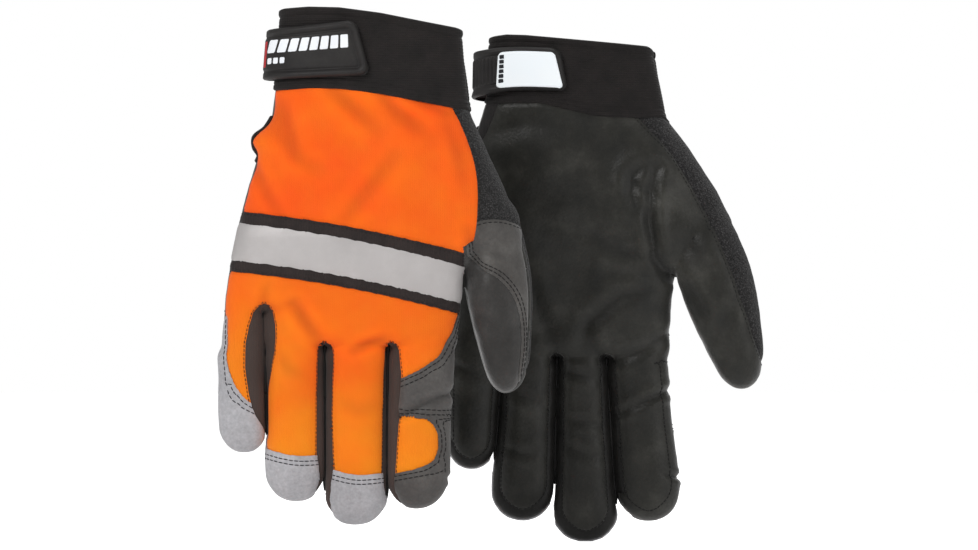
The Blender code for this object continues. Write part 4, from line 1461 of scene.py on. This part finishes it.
def surface_distance(points, triangles, values):
    """Values scaled so that they read as distances along the surface.

    Places that a line doesn't reach come out as NaN.
    """
    values = np.where(np.abs(np.abs(values) - 1) < 1e-9, np.nan, values)
    triangles = triangles[np.isfinite(values[triangles]).all(axis=1)]
    a, b, c = (points[triangles[:, k]] for k in range(3))
    e1, e2 = b - a, c - a
    d1, d2 = (values[triangles[:, k]] - values[triangles[:, 0]] for k in (1, 2))
    g11, g12, g22 = (e1 * e1).sum(1), (e1 * e2).sum(1), (e2 * e2).sum(1)
    det = np.maximum(g11 * g22 - g12 * g12, 1e-9)
    x, y = (g22 * d1 - g12 * d2) / det, (g11 * d2 - g12 * d1) / det
    size = np.linalg.norm(e1 * x[:, None] + e2 * y[:, None], axis=1)
    area = np.sqrt(det)
    total, weight = np.zeros(len(points)), np.full(len(points), 1e-9)
    for k in range(3):
        np.add.at(total, triangles[:, k], np.clip(size, 0, 8) * area)
        np.add.at(weight, triangles[:, k], area)
    return values / np.maximum(total / weight, 0.05)


def resample(places, ups, step):
    """Evenly spaced places along a path, with its direction and normal at each, or None if it's short."""
    gaps = np.linalg.norm(np.diff(places, axis=0), axis=1)
    along = np.concatenate(([0], np.cumsum(gaps)))
    count = int(along[-1] / step)
    if count < 1:
        return None
    at = (np.arange(count) + 0.5) * along[-1] / count

    def pick(values, where):
        return np.column_stack([np.interp(where, along, values[:, k]) for k in range(3)])

    way = pick(places, np.minimum(at + step / 3, along[-1])) - pick(places, np.maximum(at - step / 3, 0))
    return pick(places, at), unit(way), unit(pick(ups, at))


# A stitch's rings, as (place along it, size, lift)
STITCH_SHAPE = ((-1.0, 0.35, -0.5), (-0.72, 0.85, 0.05), (0.0, 1.0, 0.4), (0.72, 0.85, 0.05),
                (1.0, 0.35, -0.5))
STITCH_SIDES = 6


def stitch_mesh(centres, ways, ups, length, radius):
    """One small bowed bead of thread for each place."""
    sides = STITCH_SIDES
    last = (len(STITCH_SHAPE) - 1) * sides
    points, faces = [], []
    for centre, way, up in zip(centres, ways, ups):
        across = np.cross(up, way)
        across /= max(np.linalg.norm(across), 1e-9)
        start = len(points)
        for along, size, lift in STITCH_SHAPE:
            middle = centre + way * along * length / 2 + up * lift * radius
            for k in range(sides):
                turn = 2 * math.pi * k / sides
                points.append(middle + (across * math.cos(turn) + up * math.sin(turn)) * radius * size)
        for ring in range(start, start + last, sides):
            for k in range(sides):
                a, b = ring + k, ring + (k + 1) % sides
                faces.append((a, a + sides, b + sides, b))
        faces.append(tuple(start + k for k in range(sides)))
        faces.append(tuple(start + last + k for k in range(sides))[::-1])
    return points, faces


def facing_out(points, faces):
    """Turns every face of one bead-shaped mesh outwards if it came out reversed."""
    mesh = new_mesh("probe", points, faces)
    volume = bmesh.new()
    volume.from_mesh(mesh)
    inside_out = volume.calc_volume(signed=True) < 0
    volume.free()
    bpy.data.meshes.remove(mesh)
    return [face[::-1] for face in faces] if inside_out else faces


# Stitches, as (length, pitch, radius of the thread)
TOPSTITCH = (2.3, 2.5, 0.26)
THUMB_STITCH = (2.1, 2.7, 0.25)
STRIP_STITCH = (1.7, 2.0, 0.22)
PALM_STITCH = (1.9, 2.0, 0.28)
TERRY_STITCH = (1.8, 2.4, 0.2)
BAND_STITCH = (1.8, 2.3, 0.18)
# Rows of sewing: the lines they follow, how far from them, the panels they're on, thread and stitch
SEWING = (
    ([lambda f: f.cap("little")], (1.8,), ("cap",), "thread_dark", TOPSTITCH),
    ([lambda f: np.where(f.cosine > -0.6, f.cap("little"), 1.0)], (3.8,), ("cap",), "thread_dark", TOPSTITCH),
    ([lambda f: f.cap("ring"), lambda f: f.cap("middle")], (2.5, 4.4), ("cap",), "thread_dark", TOPSTITCH),
    ([Fields.index_top], (1.6, 3.8), ("index_leather",), "thread_black", TOPSTITCH),
    ([Fields.index_window], (1.6, 3.6), ("index_leather",), "thread_black", TOPSTITCH),
    ([Fields.thumb_curve], (1.6, 3.4), ("thumb_back",), "thread_black", TOPSTITCH),
    ([lambda f: -f.thumb_top()], (1.6,), ("thumb_back", "thumb_inner"), "thread_black", THUMB_STITCH),
    ([lambda f, k=k, s=s: f.slot(k, s) * (2 * s - 1) for k in range(3) for s in range(2)], (0.75,), ("knit",),
     "thread_black", STRIP_STITCH),
    ([lambda f: -f.palm_panel()], (0.7,), ("palm",), "thread_black", PALM_STITCH),
    ([lambda f: -f.palm_terry()], (1.5,), ("palm",), "thread_black", TERRY_STITCH),
    ([lambda f: f.band(BAND_LINES[0])], (1.2,), ("band",), "thread_black", BAND_STITCH),
    ([lambda f: -f.band(BAND_LINES[3])], (1.2,), ("band",), "thread_black", BAND_STITCH),
)


def sew(skin):
    """Adds every row of stitches, gathered by thread and by the zone of the joint they lie over."""
    glove = skin.glove
    fields = Fields(glove, skin.flat_points)
    groups = {}
    for lines, offsets, panels, finish, (length, pitch, radius) in SEWING:
        triangles = skin.triangles[skin.inside & np.isin(skin.panel, [PANEL[p] for p in panels])]
        lift = max(LIFT.get(p, 0.0) for p in panels)
        paths = []
        for line in lines:
            values = surface_distance(skin.points, triangles, line(fields))
            for offset in offsets:
                paths += contour(skin.points, skin.normals, triangles, values - offset)
        for places, normals in paths:
            sampled = resample(places, normals, pitch)
            if sampled is None:
                continue
            centres, ways, ups = sampled
            zones = zones_of(Fields(glove, centres))
            for z in np.unique(zones):
                pick = zones == z
                stitches = (centres[pick] + ups[pick] * lift, ways[pick], ups[pick], length, radius)
                groups.setdefault((finish, int(z)), []).append(stitches)
    for (finish, z), batches in groups.items():
        points, faces = joined(stitch_mesh(*batch) for batch in batches)
        obj = add_piece(glove, f"{glove.name}_{finish}_{ZONES[z]}", points, facing_out(points, faces), finish)
        attach(glove, obj, ZONES[z])


# ---------------------------------------------------------------- cuff and strap

# How far the cuff's faces lie outside the hand's outline and inside it
CUFF_OUT = 0.8
CUFF_IN = 1.6
# Points round the outline, round the cuff and up it
OUTLINE_STEPS, CUFF_COLUMNS, CUFF_ROWS = 1440, 320, 132
# The cuff's fine ribs: height and number, and the shares of its height they fade in and out over
RIB_HEIGHT, RIB_COUNT = 0.06, 24
RIBS_IN, RIBS_OUT = (0.15, 0.05), (0.88, 0.03)
# Its hems, as (height, share of the way up, width), and its sewn rows, as (share of the way up)
HEMS = ((0.55, 0.965, 0.045), (0.3, 0.05, 0.06))
CUFF_ROW_DEPTH, CUFF_ROW_WIDTH = -0.30, 0.012
CUFF_SEWN = (0.075, 0.135, 0.895)
# How far its outer and inner edges are rounded, and over how many rows
CUFF_ROUND, CUFF_ROUND_INSIDE, CUFF_ROUND_ROWS = 0.8, 0.5, 3

# The strap: its inner face outside the hand's outline, its wall, and the height of its outer panel
STRAP_BASE = 2.2
STRAP_WALL = 0.25
FACE_HEIGHT = 2.3 * 0.86
# Where it starts and stops, in degrees past the thumb edge, and its corners
STRAP_ENDS = (93.0, 268.2)
STRAP_CORNER, FACE_CORNER = 4.5, 5.5
STRAP_ROWS, STRAP_COLUMNS = 61, 150
# Its cross-section: the foot's rounding, then lip, groove and inner panel as (distance from the edge, width,
# height)
FOOT = 1.3
LIP = (1.9, 1.15, 0.75)
GROOVE = (4.0, 0.55, -0.75)
INNER_PANEL = (4.6, 0.8, 0.15)
# Where it bends when it opens, and the ribs at its fold
HINGE_SPAN = (-5.0, 5.0)
RIB_SPAN = (-13.0, -0.6)
RIB_FADE = 1.2
RIB_PITCH = 1.3
RIB_STEP = 0.2
# How far the ends of its edges lean, along it
TAB_LEAN, ANCHOR_LEAN = 3.4, 1.1

# The web between two fingers: half width and half depth, and how it narrows at both ends
GUSSET_WIDE = 1.3
GUSSET_DEEP = 3.0
GUSSET_FLARE, GUSSET_FLARE_LENGTH = 1.6, 6.0
GUSSET_TOP, GUSSET_END = 3.0, 9.0
GUSSET_LEAST = 0.1
GUSSET_SIDES = 20


class Wrist:
    """The outline round the cuff, by length from the little-finger edge: palm negative, back positive."""

    def __init__(self, glove):
        self.glove = glove
        self.middle = sum(line[0] for line in glove.shape["cuff"]) / 2
        self.angles = np.linspace(-180, 180, OUTLINE_STEPS + 1)
        u, v = self.section(self.angles, np.full(OUTLINE_STEPS + 1, self.middle))
        steps = np.hypot(np.diff(u), np.diff(v))
        self.length = np.concatenate(([0], np.cumsum(steps)))
        self.length -= np.interp(0, self.angles, self.length)

    def section(self, angle, z):
        """The hand's outline at angle degrees past the little-finger edge, towards the back."""
        low, high = self.glove.edge("little_edge", z), self.glove.edge("thumb_edge", z)
        turn = np.radians(180 + angle)
        u = (low + high) / 2 + (high - low) / 2 * rounded(np.cos(turn), HAND_ROUNDNESS)
        return u, self.glove.edge("half_depth", z) * rounded(np.sin(turn), HAND_ROUNDNESS)

    def at(self, along, z, out):
        """Points at a length along the outline, height z, and a distance out from the hand."""
        along, z = np.broadcast_arrays(np.asarray(along, float), np.asarray(z, float))
        angle = np.interp(along, self.length, self.angles)
        u, v = self.section(angle, z)
        a, b = (self.section(np.interp(along + step, self.length, self.angles), z) for step in (-0.6, 0.6))
        way = np.stack((b[0] - a[0], b[1] - a[1]))
        way /= np.maximum(np.hypot(*way), 1e-9)
        return np.stack((u + way[1] * out, v - way[0] * out, z), axis=-1)

    def span(self, angle):
        """The length along the outline at an angle past the thumb edge."""
        return float(np.interp(angle - 180, self.angles, self.length))


def grid_triangles(rows, columns, wrap_rows=False, wrap_columns=False):
    """Triangles over a grid of points, row by row."""
    i = np.arange(rows if wrap_rows else rows - 1)
    j = np.arange(columns if wrap_columns else columns - 1)
    a, b = np.meshgrid(i, j, indexing="ij")
    c, d = (a + 1) % rows, (b + 1) % columns
    p, q, r, s = a * columns + b, a * columns + d, c * columns + d, c * columns + b
    return np.concatenate((np.stack((p, q, r), -1).reshape(-1, 3), np.stack((p, r, s), -1).reshape(-1, 3)))


def outward(points, triangles, reference):
    """Turns the triangles so that they face away from the reference points."""
    corners = points[triangles]
    normal = np.cross(corners[:, 1] - corners[:, 0], corners[:, 2] - corners[:, 0])
    away = corners.mean(axis=1) - reference[triangles].mean(axis=1)
    return triangles[:, ::-1] if (normal * away).sum() < 0 else triangles


def cuff_edges(glove, u, v):
    """The height of the cuff's lower and upper edges at a place on the outline."""
    back = np.clip(0.5 - v / 14, 0, 1)
    low, high = (start + slope * u for start, slope in glove.shape["cuff"])
    rise = table(glove.shape["cuff_rise"], u) * back
    palm = table(glove.shape["palm_rise"], u) * (1 - back)
    return low + rise + palm, high + rise - table(glove.shape["top_drop"], u)


def cuff_relief(share):
    """The height of the cuff's outer face at a share of the way up: ribs, hems and sewn rows."""
    ribs = RIB_HEIGHT * np.sin(share * 2 * math.pi * RIB_COUNT)
    (top, top_at, top_width), (low, low_at, low_width) = HEMS
    hem = top * bell(share - top_at, top_width, 4) + low * bell(share - low_at, low_width, 4)
    first, second, third = (bell(share - at, CUFF_ROW_WIDTH) for at in CUFF_SEWN)
    return (ribs * step_up(share, *RIBS_IN) * step_down(share, *RIBS_OUT) + hem
            + CUFF_ROW_DEPTH * (first + second + third))


def add_cuff(glove, wrist):
    """The elastic cuff: fine ribs all round, a turned top edge and two stitched rows at the bottom."""
    around = np.linspace(wrist.length[0], wrist.length[-1], CUFF_COLUMNS + 1)[:-1]
    rows = CUFF_ROWS
    share = np.linspace(0, 1, rows)
    reliefs = np.concatenate((cuff_relief(share), np.full(rows, -CUFF_IN - CUFF_OUT)))
    near_end = np.clip(1 - np.minimum(share, 1 - share) * rows / CUFF_ROUND_ROWS, 0, 1) ** 2
    reliefs[:rows] -= CUFF_ROUND * near_end
    reliefs[rows:] += CUFF_ROUND_INSIDE * near_end
    grid = []
    for s, relief in zip(np.concatenate((share, share[::-1])), reliefs):
        z = np.full(len(around), wrist.middle)
        for _ in range(4):
            place = wrist.at(around, z, 0.0)
            low, high = cuff_edges(glove, place[:, 0], place[:, 1])
            z = low + (high - low) * s
        sag = 0.45 * np.sin(around / 23.0 + s * 2.6) + 0.25 * np.sin(around / 9.5 - s * 4.0 + 1.0)
        grid.append(wrist.at(around, z, CUFF_OUT + relief + sag * (0.35 + 0.65 * s)))
    points = np.concatenate(grid)
    centre = np.repeat(points.reshape(2 * rows, -1, 3).mean(axis=1), len(around), axis=0)
    triangles = grid_triangles(2 * rows, len(around), True, True)
    outer = triangles[(triangles < rows * len(around)).all(axis=1)]
    if (outward(points, outer, centre) != outer).any():
        triangles = triangles[:, ::-1]
    normals = vertex_normals(points, triangles)
    obj = add_piece(glove, f"{glove.name}_cuff", points, [tuple(t) for t in triangles.tolist()], "elastic",
                    list(normals[triangles]))
    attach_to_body(obj, f"{glove.name}_hand")
    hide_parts(f"{glove.name}_cuff_band")


def rounded_rows(along, start, stop, half, corner):
    """Half heights that round off both ends of a strip."""
    near = np.minimum(along - start, stop - along)
    return half - corner + corner * quarter_round(near / corner)


def spaced(start, stop, corner, count):
    """Places from start to stop, closer together at both ends."""
    ends = corner * (1 - np.cos(np.linspace(0, math.pi / 2, 14)))
    middle = np.linspace(start + corner, stop - corner, count)[1:-1]
    return np.concatenate((start + ends, middle, stop - ends[::-1]))


class Strap:
    """The moulded wrist strap: a raised lip, a sunken groove and a flat inner panel, ribbed at the fold."""

    def __init__(self, glove, wrist):
        self.glove, self.wrist = glove, wrist
        self.start, self.stop = (wrist.span(angle) for angle in STRAP_ENDS)

    def path(self, along):
        """The height of the strap's middle, and half its width."""
        path = self.glove.shape["strap_path"]
        return [smooth_table([(point[0], point[k]) for point in path], along) for k in (1, 2)]

    def at(self, along, across, out):
        """A point of the strap; across runs from -1 at the lower edge to 1 at the upper."""
        middle, half = self.path(along)
        out = out + self.glove.shape["fold"] * bell(np.asarray(along) + 3, 9)
        shift = -TAB_LEAN * across * step_up(along, 12, 30) ** 2
        shift = shift + ANCHOR_LEAN * across * step_down(along, -8, 22)
        return self.wrist.at(along + shift, middle + half * across, out)

    def height(self, along, inside):
        """The strap's outer face above its base, inside being the distance to the nearest edge."""
        away = step_up(np.abs(along + 2), 4, 5)
        panel = step_up(inside, *INNER_PANEL[:2])
        lip = LIP[2] * bell(inside - LIP[0], LIP[1]) * away
        groove = GROOVE[2] * bell(inside - GROOVE[0], GROOVE[1]) * (0.4 + 0.6 * away)
        ribs = step_up(along, RIB_SPAN[0], RIB_FADE) * step_down(along, RIB_SPAN[1], RIB_FADE) * panel
        wave = 0.42 * np.cos((along - RIB_SPAN[0]) * 2 * math.pi / RIB_PITCH) - 0.25
        face = FACE_HEIGHT * quarter_round(inside / FOOT) + lip + groove + INNER_PANEL[2] * panel
        return face + ribs * wave

    def columns(self):
        """Places along the strap, closer together at its ends and over its ribs, and the two at the hinge."""
        along = spaced(self.start, self.stop, STRAP_CORNER, STRAP_COLUMNS)
        plain = (along < RIB_SPAN[0] - 1) | (along > RIB_SPAN[1] + 1)
        ribbed_part = np.arange(RIB_SPAN[0] - 0.9, RIB_SPAN[1] + 0.9, RIB_STEP)
        along = np.sort(np.concatenate((along[plain], ribbed_part)))
        ends = [int(np.abs(along - edge).argmin()) for edge in HINGE_SPAN]
        along[ends] = HINGE_SPAN
        return along, ends

    def add(self):
        """The strap itself, as an anchor, a hinge and a tab."""
        glove, name = self.glove, self.glove.name
        along, (first, last) = self.columns()
        half = self.path(along)[1]
        tall = rounded_rows(along, self.start, self.stop, half, STRAP_CORNER) / half
        across = np.sin(np.linspace(-math.pi / 2, math.pi / 2, STRAP_ROWS))
        across = 0.45 * across + 0.55 * np.linspace(-1, 1, STRAP_ROWS)
        a, r = np.meshgrid(along, across)
        share = r * tall
        ends = np.minimum(a - self.start, self.stop - a)
        inside = np.minimum((1 - np.abs(r)) * tall * half, ends)
        sides = half - np.abs(share) * half
        deep = np.stack([np.clip(FACE_CORNER - edge, 0, None) for edge in (ends, sides)])
        inside = np.where((deep > 0).all(axis=0), np.maximum(FACE_CORNER - np.hypot(*deep), 0), inside)
        inside = np.where(np.abs(r) > 0.9999, 0, inside)
        outer = self.at(a, share, STRAP_BASE + STRAP_WALL + self.height(a, inside)).reshape(-1, 3)
        inner = self.at(a, share, np.full_like(a, STRAP_BASE)).reshape(-1, 3)
        triangles = outward(outer, grid_triangles(STRAP_ROWS, len(along)), inner - (outer - inner) * 4)
        normals = vertex_normals(outer, triangles)
        column = (triangles % len(along)).mean(axis=1)
        hinge = (column >= first) & (column < last)
        for part, mine in (("anchor", column < first), ("hinge", hinge), ("tab", column >= last)):
            points, faces, loops = closed_sheet(outer, inner, normals, triangles[mine])
            obj = add_piece(glove, f"{name}_strap_{part}", points, faces, "rubber", loops)
            if part == "hinge":
                ends = [glove.to_world(self.at(*(np.array([x]) for x in (edge, 0.0, STRAP_BASE))))[0]
                        for edge in HINGE_SPAN]
                tuple(ends[0])
                tuple(ends[1])
                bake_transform(obj)
            else:
                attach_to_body(obj, f"{name}_hand" if part == "anchor" else f"{name}_strap")
                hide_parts(f"{name}_strap_{part}")

    def patch(self, name, span, rows, corner, base, thick, finish, body, bulge=0.0, slant=0.0, flare=0.0):
        """A rounded patch set on the strap's face, as a closed sheet.

        span is where it starts and stops along the strap, rows its lower and upper edge.
        """
        (start, stop), (low, high) = span, rows
        along = spaced(start, stop, corner, max(int((stop - start) / 0.8), 8))
        middle, half = (low + high) / 2, (high - low) / 2
        tall = rounded_rows(along, start, stop, np.full(len(along), half), corner)
        a, r = np.meshgrid(along, np.linspace(-1, 1, max(int(half * 4), 9)))
        share = middle + r * tall
        tilt = (share - middle) / max(half, 1e-6)
        shifted = a + slant * tilt - flare * tilt * (a - (start + stop) / 2)
        full = self.path(a)[1]
        edge = np.minimum(np.minimum(a - start, stop - a), (1 - np.abs(r)) * tall)
        rise = thick * quarter_round(edge / (thick * 1.2))
        dome_height = bulge * np.clip(1 - (share - middle) ** 2 / half ** 2, 0, 1)
        outer = self.at(shifted, share / full, base + rise + dome_height).reshape(-1, 3)
        inner = self.at(shifted, share / full, np.full_like(a, base - 0.3)).reshape(-1, 3)
        triangles = outward(outer, grid_triangles(*a.shape), inner - (outer - inner) * 8)
        points, faces, loops = closed_sheet(outer, inner, vertex_normals(outer, triangles), triangles)
        obj = add_piece(self.glove, f"{self.glove.name}_{name}", points, faces, finish, loops)
        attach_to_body(obj, f"{self.glove.name}_{body}")
        return obj

    def add_details(self):
        """The white name panel, plain printed blocks on the tab, and the hook pad under it."""
        name = self.glove.name
        face = STRAP_BASE + STRAP_WALL + FACE_HEIGHT
        stop = RIB_SPAN[0] - 0.4
        panel = self.patch("name_panel", (self.start + 2.6, stop), (-9.4, 8.6), 2.2, face + 0.35, 0.7,
                           "white", "hand", 0.2, flare=0.045)
        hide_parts(f"{name}_id_panel")
        for i in range(6):
            low = 7.0 - i * 2.35
            lean = 0.6 * (low - 1.0) / 9.0
            self.patch(f"print_mark_{i}", (stop - 2.9 - lean, stop - 1.0 - lean), (low - 1.9, low), 0.3,
                       face + 1.3, 0.16, "mark", "hand")
        top = face + 0.12
        for i in range(8):
            at = 4.4 + i * 4.9
            self.patch(f"print_{i}", (at, at + 3.9), (0.4, 6.8), 0.6, top, 0.25, "print", "strap", slant=0.7)
        for i in range(3):
            at = 4.4 + i * 2.9
            self.patch(f"print_small_{i}", (at, at + 2.1), (-4.9, -1.9), 0.5, top, 0.25, "print", "strap")
        self.patch("print_red", (0.4, 3.2), (-6.4, 6.4), 0.6, top, 0.25, "red", "strap")
        pad = self.patch("hook", (15.0, self.stop - 4.0), (-8.8, 8.8), 2.0, CUFF_OUT + 0.5,
                         STRAP_BASE - CUFF_OUT - 0.6, "hook", "strap")
        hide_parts(f"{name}_hook_pad")


# ---------------------------------------------------------------- vent and webs

# The cord round the slit: (height above the vent, v) down its course, how far it stands off, its radius,
# its sides, and how small its ends are
CORD = ((14.0, 0.6), (8.0, -0.8), (3.0, -1.6), (-1.0, -1.4), (-5.0, 0.0), (-8.5, 2.2))
CORD_LIFT, CORD_RADIUS, CORD_SIDES, CORD_END = 0.55, 1.05, 10, 0.35
# The binding tape: points down and across it, its width at the top and how much it narrows, and how thick
BINDING_ROWS, BINDING_COLUMNS = 40, 15
BINDING_WIDTH, BINDING_TAPER = 5.6, 1.6
BINDING_LIFT, BINDING_BASE = 0.65, 0.2
# How far outside the glove a look at its skin starts
LOOK_FROM = 80


def tube(places, radius):
    """A round cord through places, with rounded ends."""
    sides = CORD_SIDES
    places = np.asarray(places, float)
    steps = np.linalg.norm(np.diff(places, axis=0), axis=1)
    along = np.concatenate(([0], np.cumsum(steps)))
    at = np.linspace(0, along[-1], max(int(along[-1] / 0.7), 8))
    line = np.column_stack([smooth_table(list(zip(along, places[:, k])), at) for k in range(3)])
    points, faces = [], []
    side = np.array([0.0, 1.0, 0.0])
    for i, centre in enumerate(line):
        way = line[min(i + 1, len(line) - 1)] - line[max(i - 1, 0)]
        way /= np.linalg.norm(way)
        across = np.cross(way, side)
        across /= np.linalg.norm(across)
        size = radius * (CORD_END if i in (0, len(line) - 1) else 1.0)
        for k in range(sides):
            turn = 2 * math.pi * k / sides
            points.append(centre + size * (math.cos(turn) * across + math.sin(turn) * np.cross(across, way)))
    for i in range(len(line) - 1):
        for k in range(sides):
            a, b = i * sides + k, i * sides + (k + 1) % sides
            faces.append((a, b, b + sides, a + sides))
    faces.append(tuple(range(sides))[::-1])
    faces.append(tuple((len(line) - 1) * sides + k for k in range(sides)))
    return points, facing_out(points, faces)


def on_skin(tree, place, way):
    """Where a straight look along way, towards a place, first meets the skin, and the normal there."""
    hit, normal, _, _ = tree.ray_cast(Vector(place) - Vector(way) * LOOK_FROM, Vector(way))
    return np.array(hit), np.array(normal)


def add_vent(skin):
    """The bound slit at the little-finger edge below the cuff, and the binding that runs up from it."""
    glove = skin.glove
    tree = BVHTree.FromPolygons([tuple(p) for p in skin.points], [tuple(t) for t in skin.triangles.tolist()])
    vent = glove.shape["vent"]
    cord = []
    for above, v in CORD:
        place, normal = on_skin(tree, (0, v, vent + above), U_AXIS)
        cord.append(place + normal * CORD_LIFT)
    obj = add_piece(glove, f"{glove.name}_vent_cord", *tube(cord, CORD_RADIUS), "binding")
    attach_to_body(obj, f"{glove.name}_hand")
    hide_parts(f"{glove.name}_vent_binding")

    outer, inner = [], []
    start = glove.shape["cuff"][0][0] + 8
    for share in np.arange(BINDING_ROWS) / (BINDING_ROWS - 1):
        z = start + share * (vent + 6 - start)
        edge = on_skin(tree, (0, 0.6, z), U_AXIS)[0][0] + 0.25
        for across in np.arange(BINDING_COLUMNS) / (BINDING_COLUMNS - 1):
            look = (edge + across * (BINDING_WIDTH - BINDING_TAPER * share), 0.0, z)
            place, normal = on_skin(tree, look, (0, -1, 0))
            lift = BINDING_LIFT + 0.35 * math.exp(-((1 - across) / 0.12) ** 2) - 0.5 * across ** 12
            outer.append(place + normal * lift)
            inner.append(place - normal * BINDING_BASE)
    outer, inner = np.array(outer), np.array(inner)
    triangles = outward(outer, grid_triangles(BINDING_ROWS, BINDING_COLUMNS), inner - (outer - inner) * 6)
    points, faces, loops = closed_sheet(outer, inner, vertex_normals(outer, triangles), triangles)
    obj = add_piece(glove, f"{glove.name}_vent_strip", points, faces, "binding", loops)
    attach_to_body(obj, f"{glove.name}_hand")


def gusset_rings(glove, k, low, high, top):
    """Rings up one stretch of the web in gap k, which tapers at its lower end and flares near its top."""
    rings = []
    for z in np.linspace(low, high, max(int((high - low) / 1.5), 4)):
        near_end = (z - glove.shape["web_ends"][k]) / GUSSET_END + 0.05
        size = max(math.sqrt(min((top - z) / GUSSET_TOP, near_end, 1.0)), GUSSET_LEAST)
        flare = 1.0 + GUSSET_FLARE * max(1 - (top - z) / GUSSET_FLARE_LENGTH, 0.0)
        rings.append(ring_of((float(glove.gaps(z)[k]), 0, z), U_AXIS, V_AXIS, GUSSET_WIDE * flare * size,
                             GUSSET_DEEP * size, GUSSET_ROUNDNESS, GUSSET_SIDES))
    return rings


def add_gussets(glove):
    """A narrow web of the side fabric in each gap between fingers, split where the finger bends."""
    knuckle = glove.shape["knuckle_z"]
    for k, finger in enumerate(("ring", "middle", "middle")):
        length = knuckle - glove.shape["fingers"][finger][5]
        half_base = knuckle - HALF_BASE * MIDDLE_JOINT_AT * length
        top = glove.shape["slot_tops"][k] + 2.5
        spans = (("hand", knuckle + FINGER_REACH, top), (f"{finger}_base", half_base, knuckle + FINGER_REACH),
                 (f"{finger}_tip", glove.shape["web_ends"][k], half_base))
        for zone, low, high in spans:
            if high - low < 1.0:
                continue
            points, faces = loft(gusset_rings(glove, k, low, high, top))
            # A fixed relief of -1 darkens the whole web: painted shade deep in the gap between the fingers
            obj = add_piece(glove, f"{glove.name}_gusset_{k}_{zone}", points, facing_out(points, faces),
                            "rim", relief=np.full(len(points), -1.0))
            attach(glove, obj, zone)


gloves = [Glove(RIGHT), Glove(LEFT)]
for glove in gloves:
    wrist = Wrist(glove)
    add_cuff(glove, wrist)
    strap = Strap(glove, wrist)
    strap.add()
    strap.add_details()
skins = [Skin(glove) for glove in gloves]
for skin in skins:
    skin.add_pieces()
    sew(skin)
    add_vent(skin)
    add_gussets(skin.glove)


# ---------------------------------------------------------------- floor, light and camera

WHITE = (1, 1, 1, 1)
FLOOR_SIDE, FLOOR_Z, FLOOR_COLOUR = 6, -0.001, (0.95, 0.95, 0.95, 1)
# The floor's own light: in general, and on top of that where the camera sees it
FLOOR_GLOW, FLOOR_SEEN_GLOW = 0.15, 0.75
WORLD_LIGHT = 0.34
# Lamps, as (name, place, size, power), and the place they point at
LAMPS = (("key", (-1.0, -1.5, 1.3), 0.75, 19), ("fill", (1.3, -1.3, 0.6), 1.0, 5),
         ("top", (0.2, 0.5, 1.7), 0.9, 7), ("back", (0.6, 1.6, 1.0), 1.0, 7))
LAMP_TARGET = (0, 0, 0.14)
# The camera: how far in front of the gloves, its lens, and the place it looks at, in the right glove's axes
CAMERA_AWAY = 4.7
CAMERA_LENS = 357.0
CAMERA_U, CAMERA_Z = 67.3, 131.5


def add_floor():
    """A white floor that glows for the camera and reflects little light."""
    f = Finish("studio_floor", 0.9)
    f.shader.inputs["Base Color"].default_value = FLOOR_COLOUR
    f.shader.inputs["Emission Color"].default_value = WHITE
    seen = f.node("LightPath")
    glow = f.maths("ADD", f.maths("MULTIPLY", seen.outputs["Is Camera Ray"], FLOOR_SEEN_GLOW), FLOOR_GLOW)
    f.link(glow, f.shader.inputs["Emission Strength"])
    corners = [(x * FLOOR_SIDE, y * FLOOR_SIDE, FLOOR_Z) for x, y in ((-1, -1), (1, -1), (1, 1), (-1, 1))]
    floor = bpy.data.objects.new("floor", new_mesh("floor", corners, [(0, 1, 2, 3)]))
    bpy.context.collection.objects.link(floor)
    floor.data.materials.append(f.material)


def add_world():
    """A white surround: plain white to the camera, dimmer as a light."""
    world = bpy.data.worlds.new("studio")
    world.use_nodes = True
    tree = world.node_tree
    seen = tree.nodes.new("ShaderNodeLightPath")
    level = tree.nodes.new("ShaderNodeMapRange")
    level.inputs["To Min"].default_value = WORLD_LIGHT
    level.inputs["To Max"].default_value = 1.0
    tree.links.new(seen.outputs["Is Camera Ray"], level.inputs["Value"])
    tree.links.new(level.outputs["Result"], tree.nodes["Background"].inputs["Strength"])
    tree.nodes["Background"].inputs["Color"].default_value = WHITE
    bpy.context.scene.world = world
    bpy.context.scene.view_settings.view_transform = "Standard"


def add_lamps():
    """Four soft lamps round the gloves."""
    for name, place, size, power in LAMPS:
        lamp = bpy.data.lights.new(name, "AREA")
        lamp.size = size
        lamp.energy = power
        obj = bpy.data.objects.new(name, lamp)
        obj.location = place
        obj.rotation_euler = (Vector(LAMP_TARGET) - obj.location).to_track_quat("-Z", "Y").to_euler()
        bpy.context.collection.objects.link(obj)


def add_camera(right):
    """A long lens straight in front of the gloves."""
    lens = bpy.data.cameras.new("camera")
    lens.lens = CAMERA_LENS
    lens.clip_end = 50
    obj = bpy.data.objects.new("camera", lens)
    obj.location = ((right.u0 + CAMERA_U) * MM, right.v0 * MM - CAMERA_AWAY, (right.z0 + CAMERA_Z) * MM)
    obj.rotation_euler = (math.radians(90), 0, 0)
    bpy.context.collection.objects.link(obj)
    bpy.context.scene.camera = obj


add_floor()
add_world()
add_lamps()
add_camera(gloves[0])
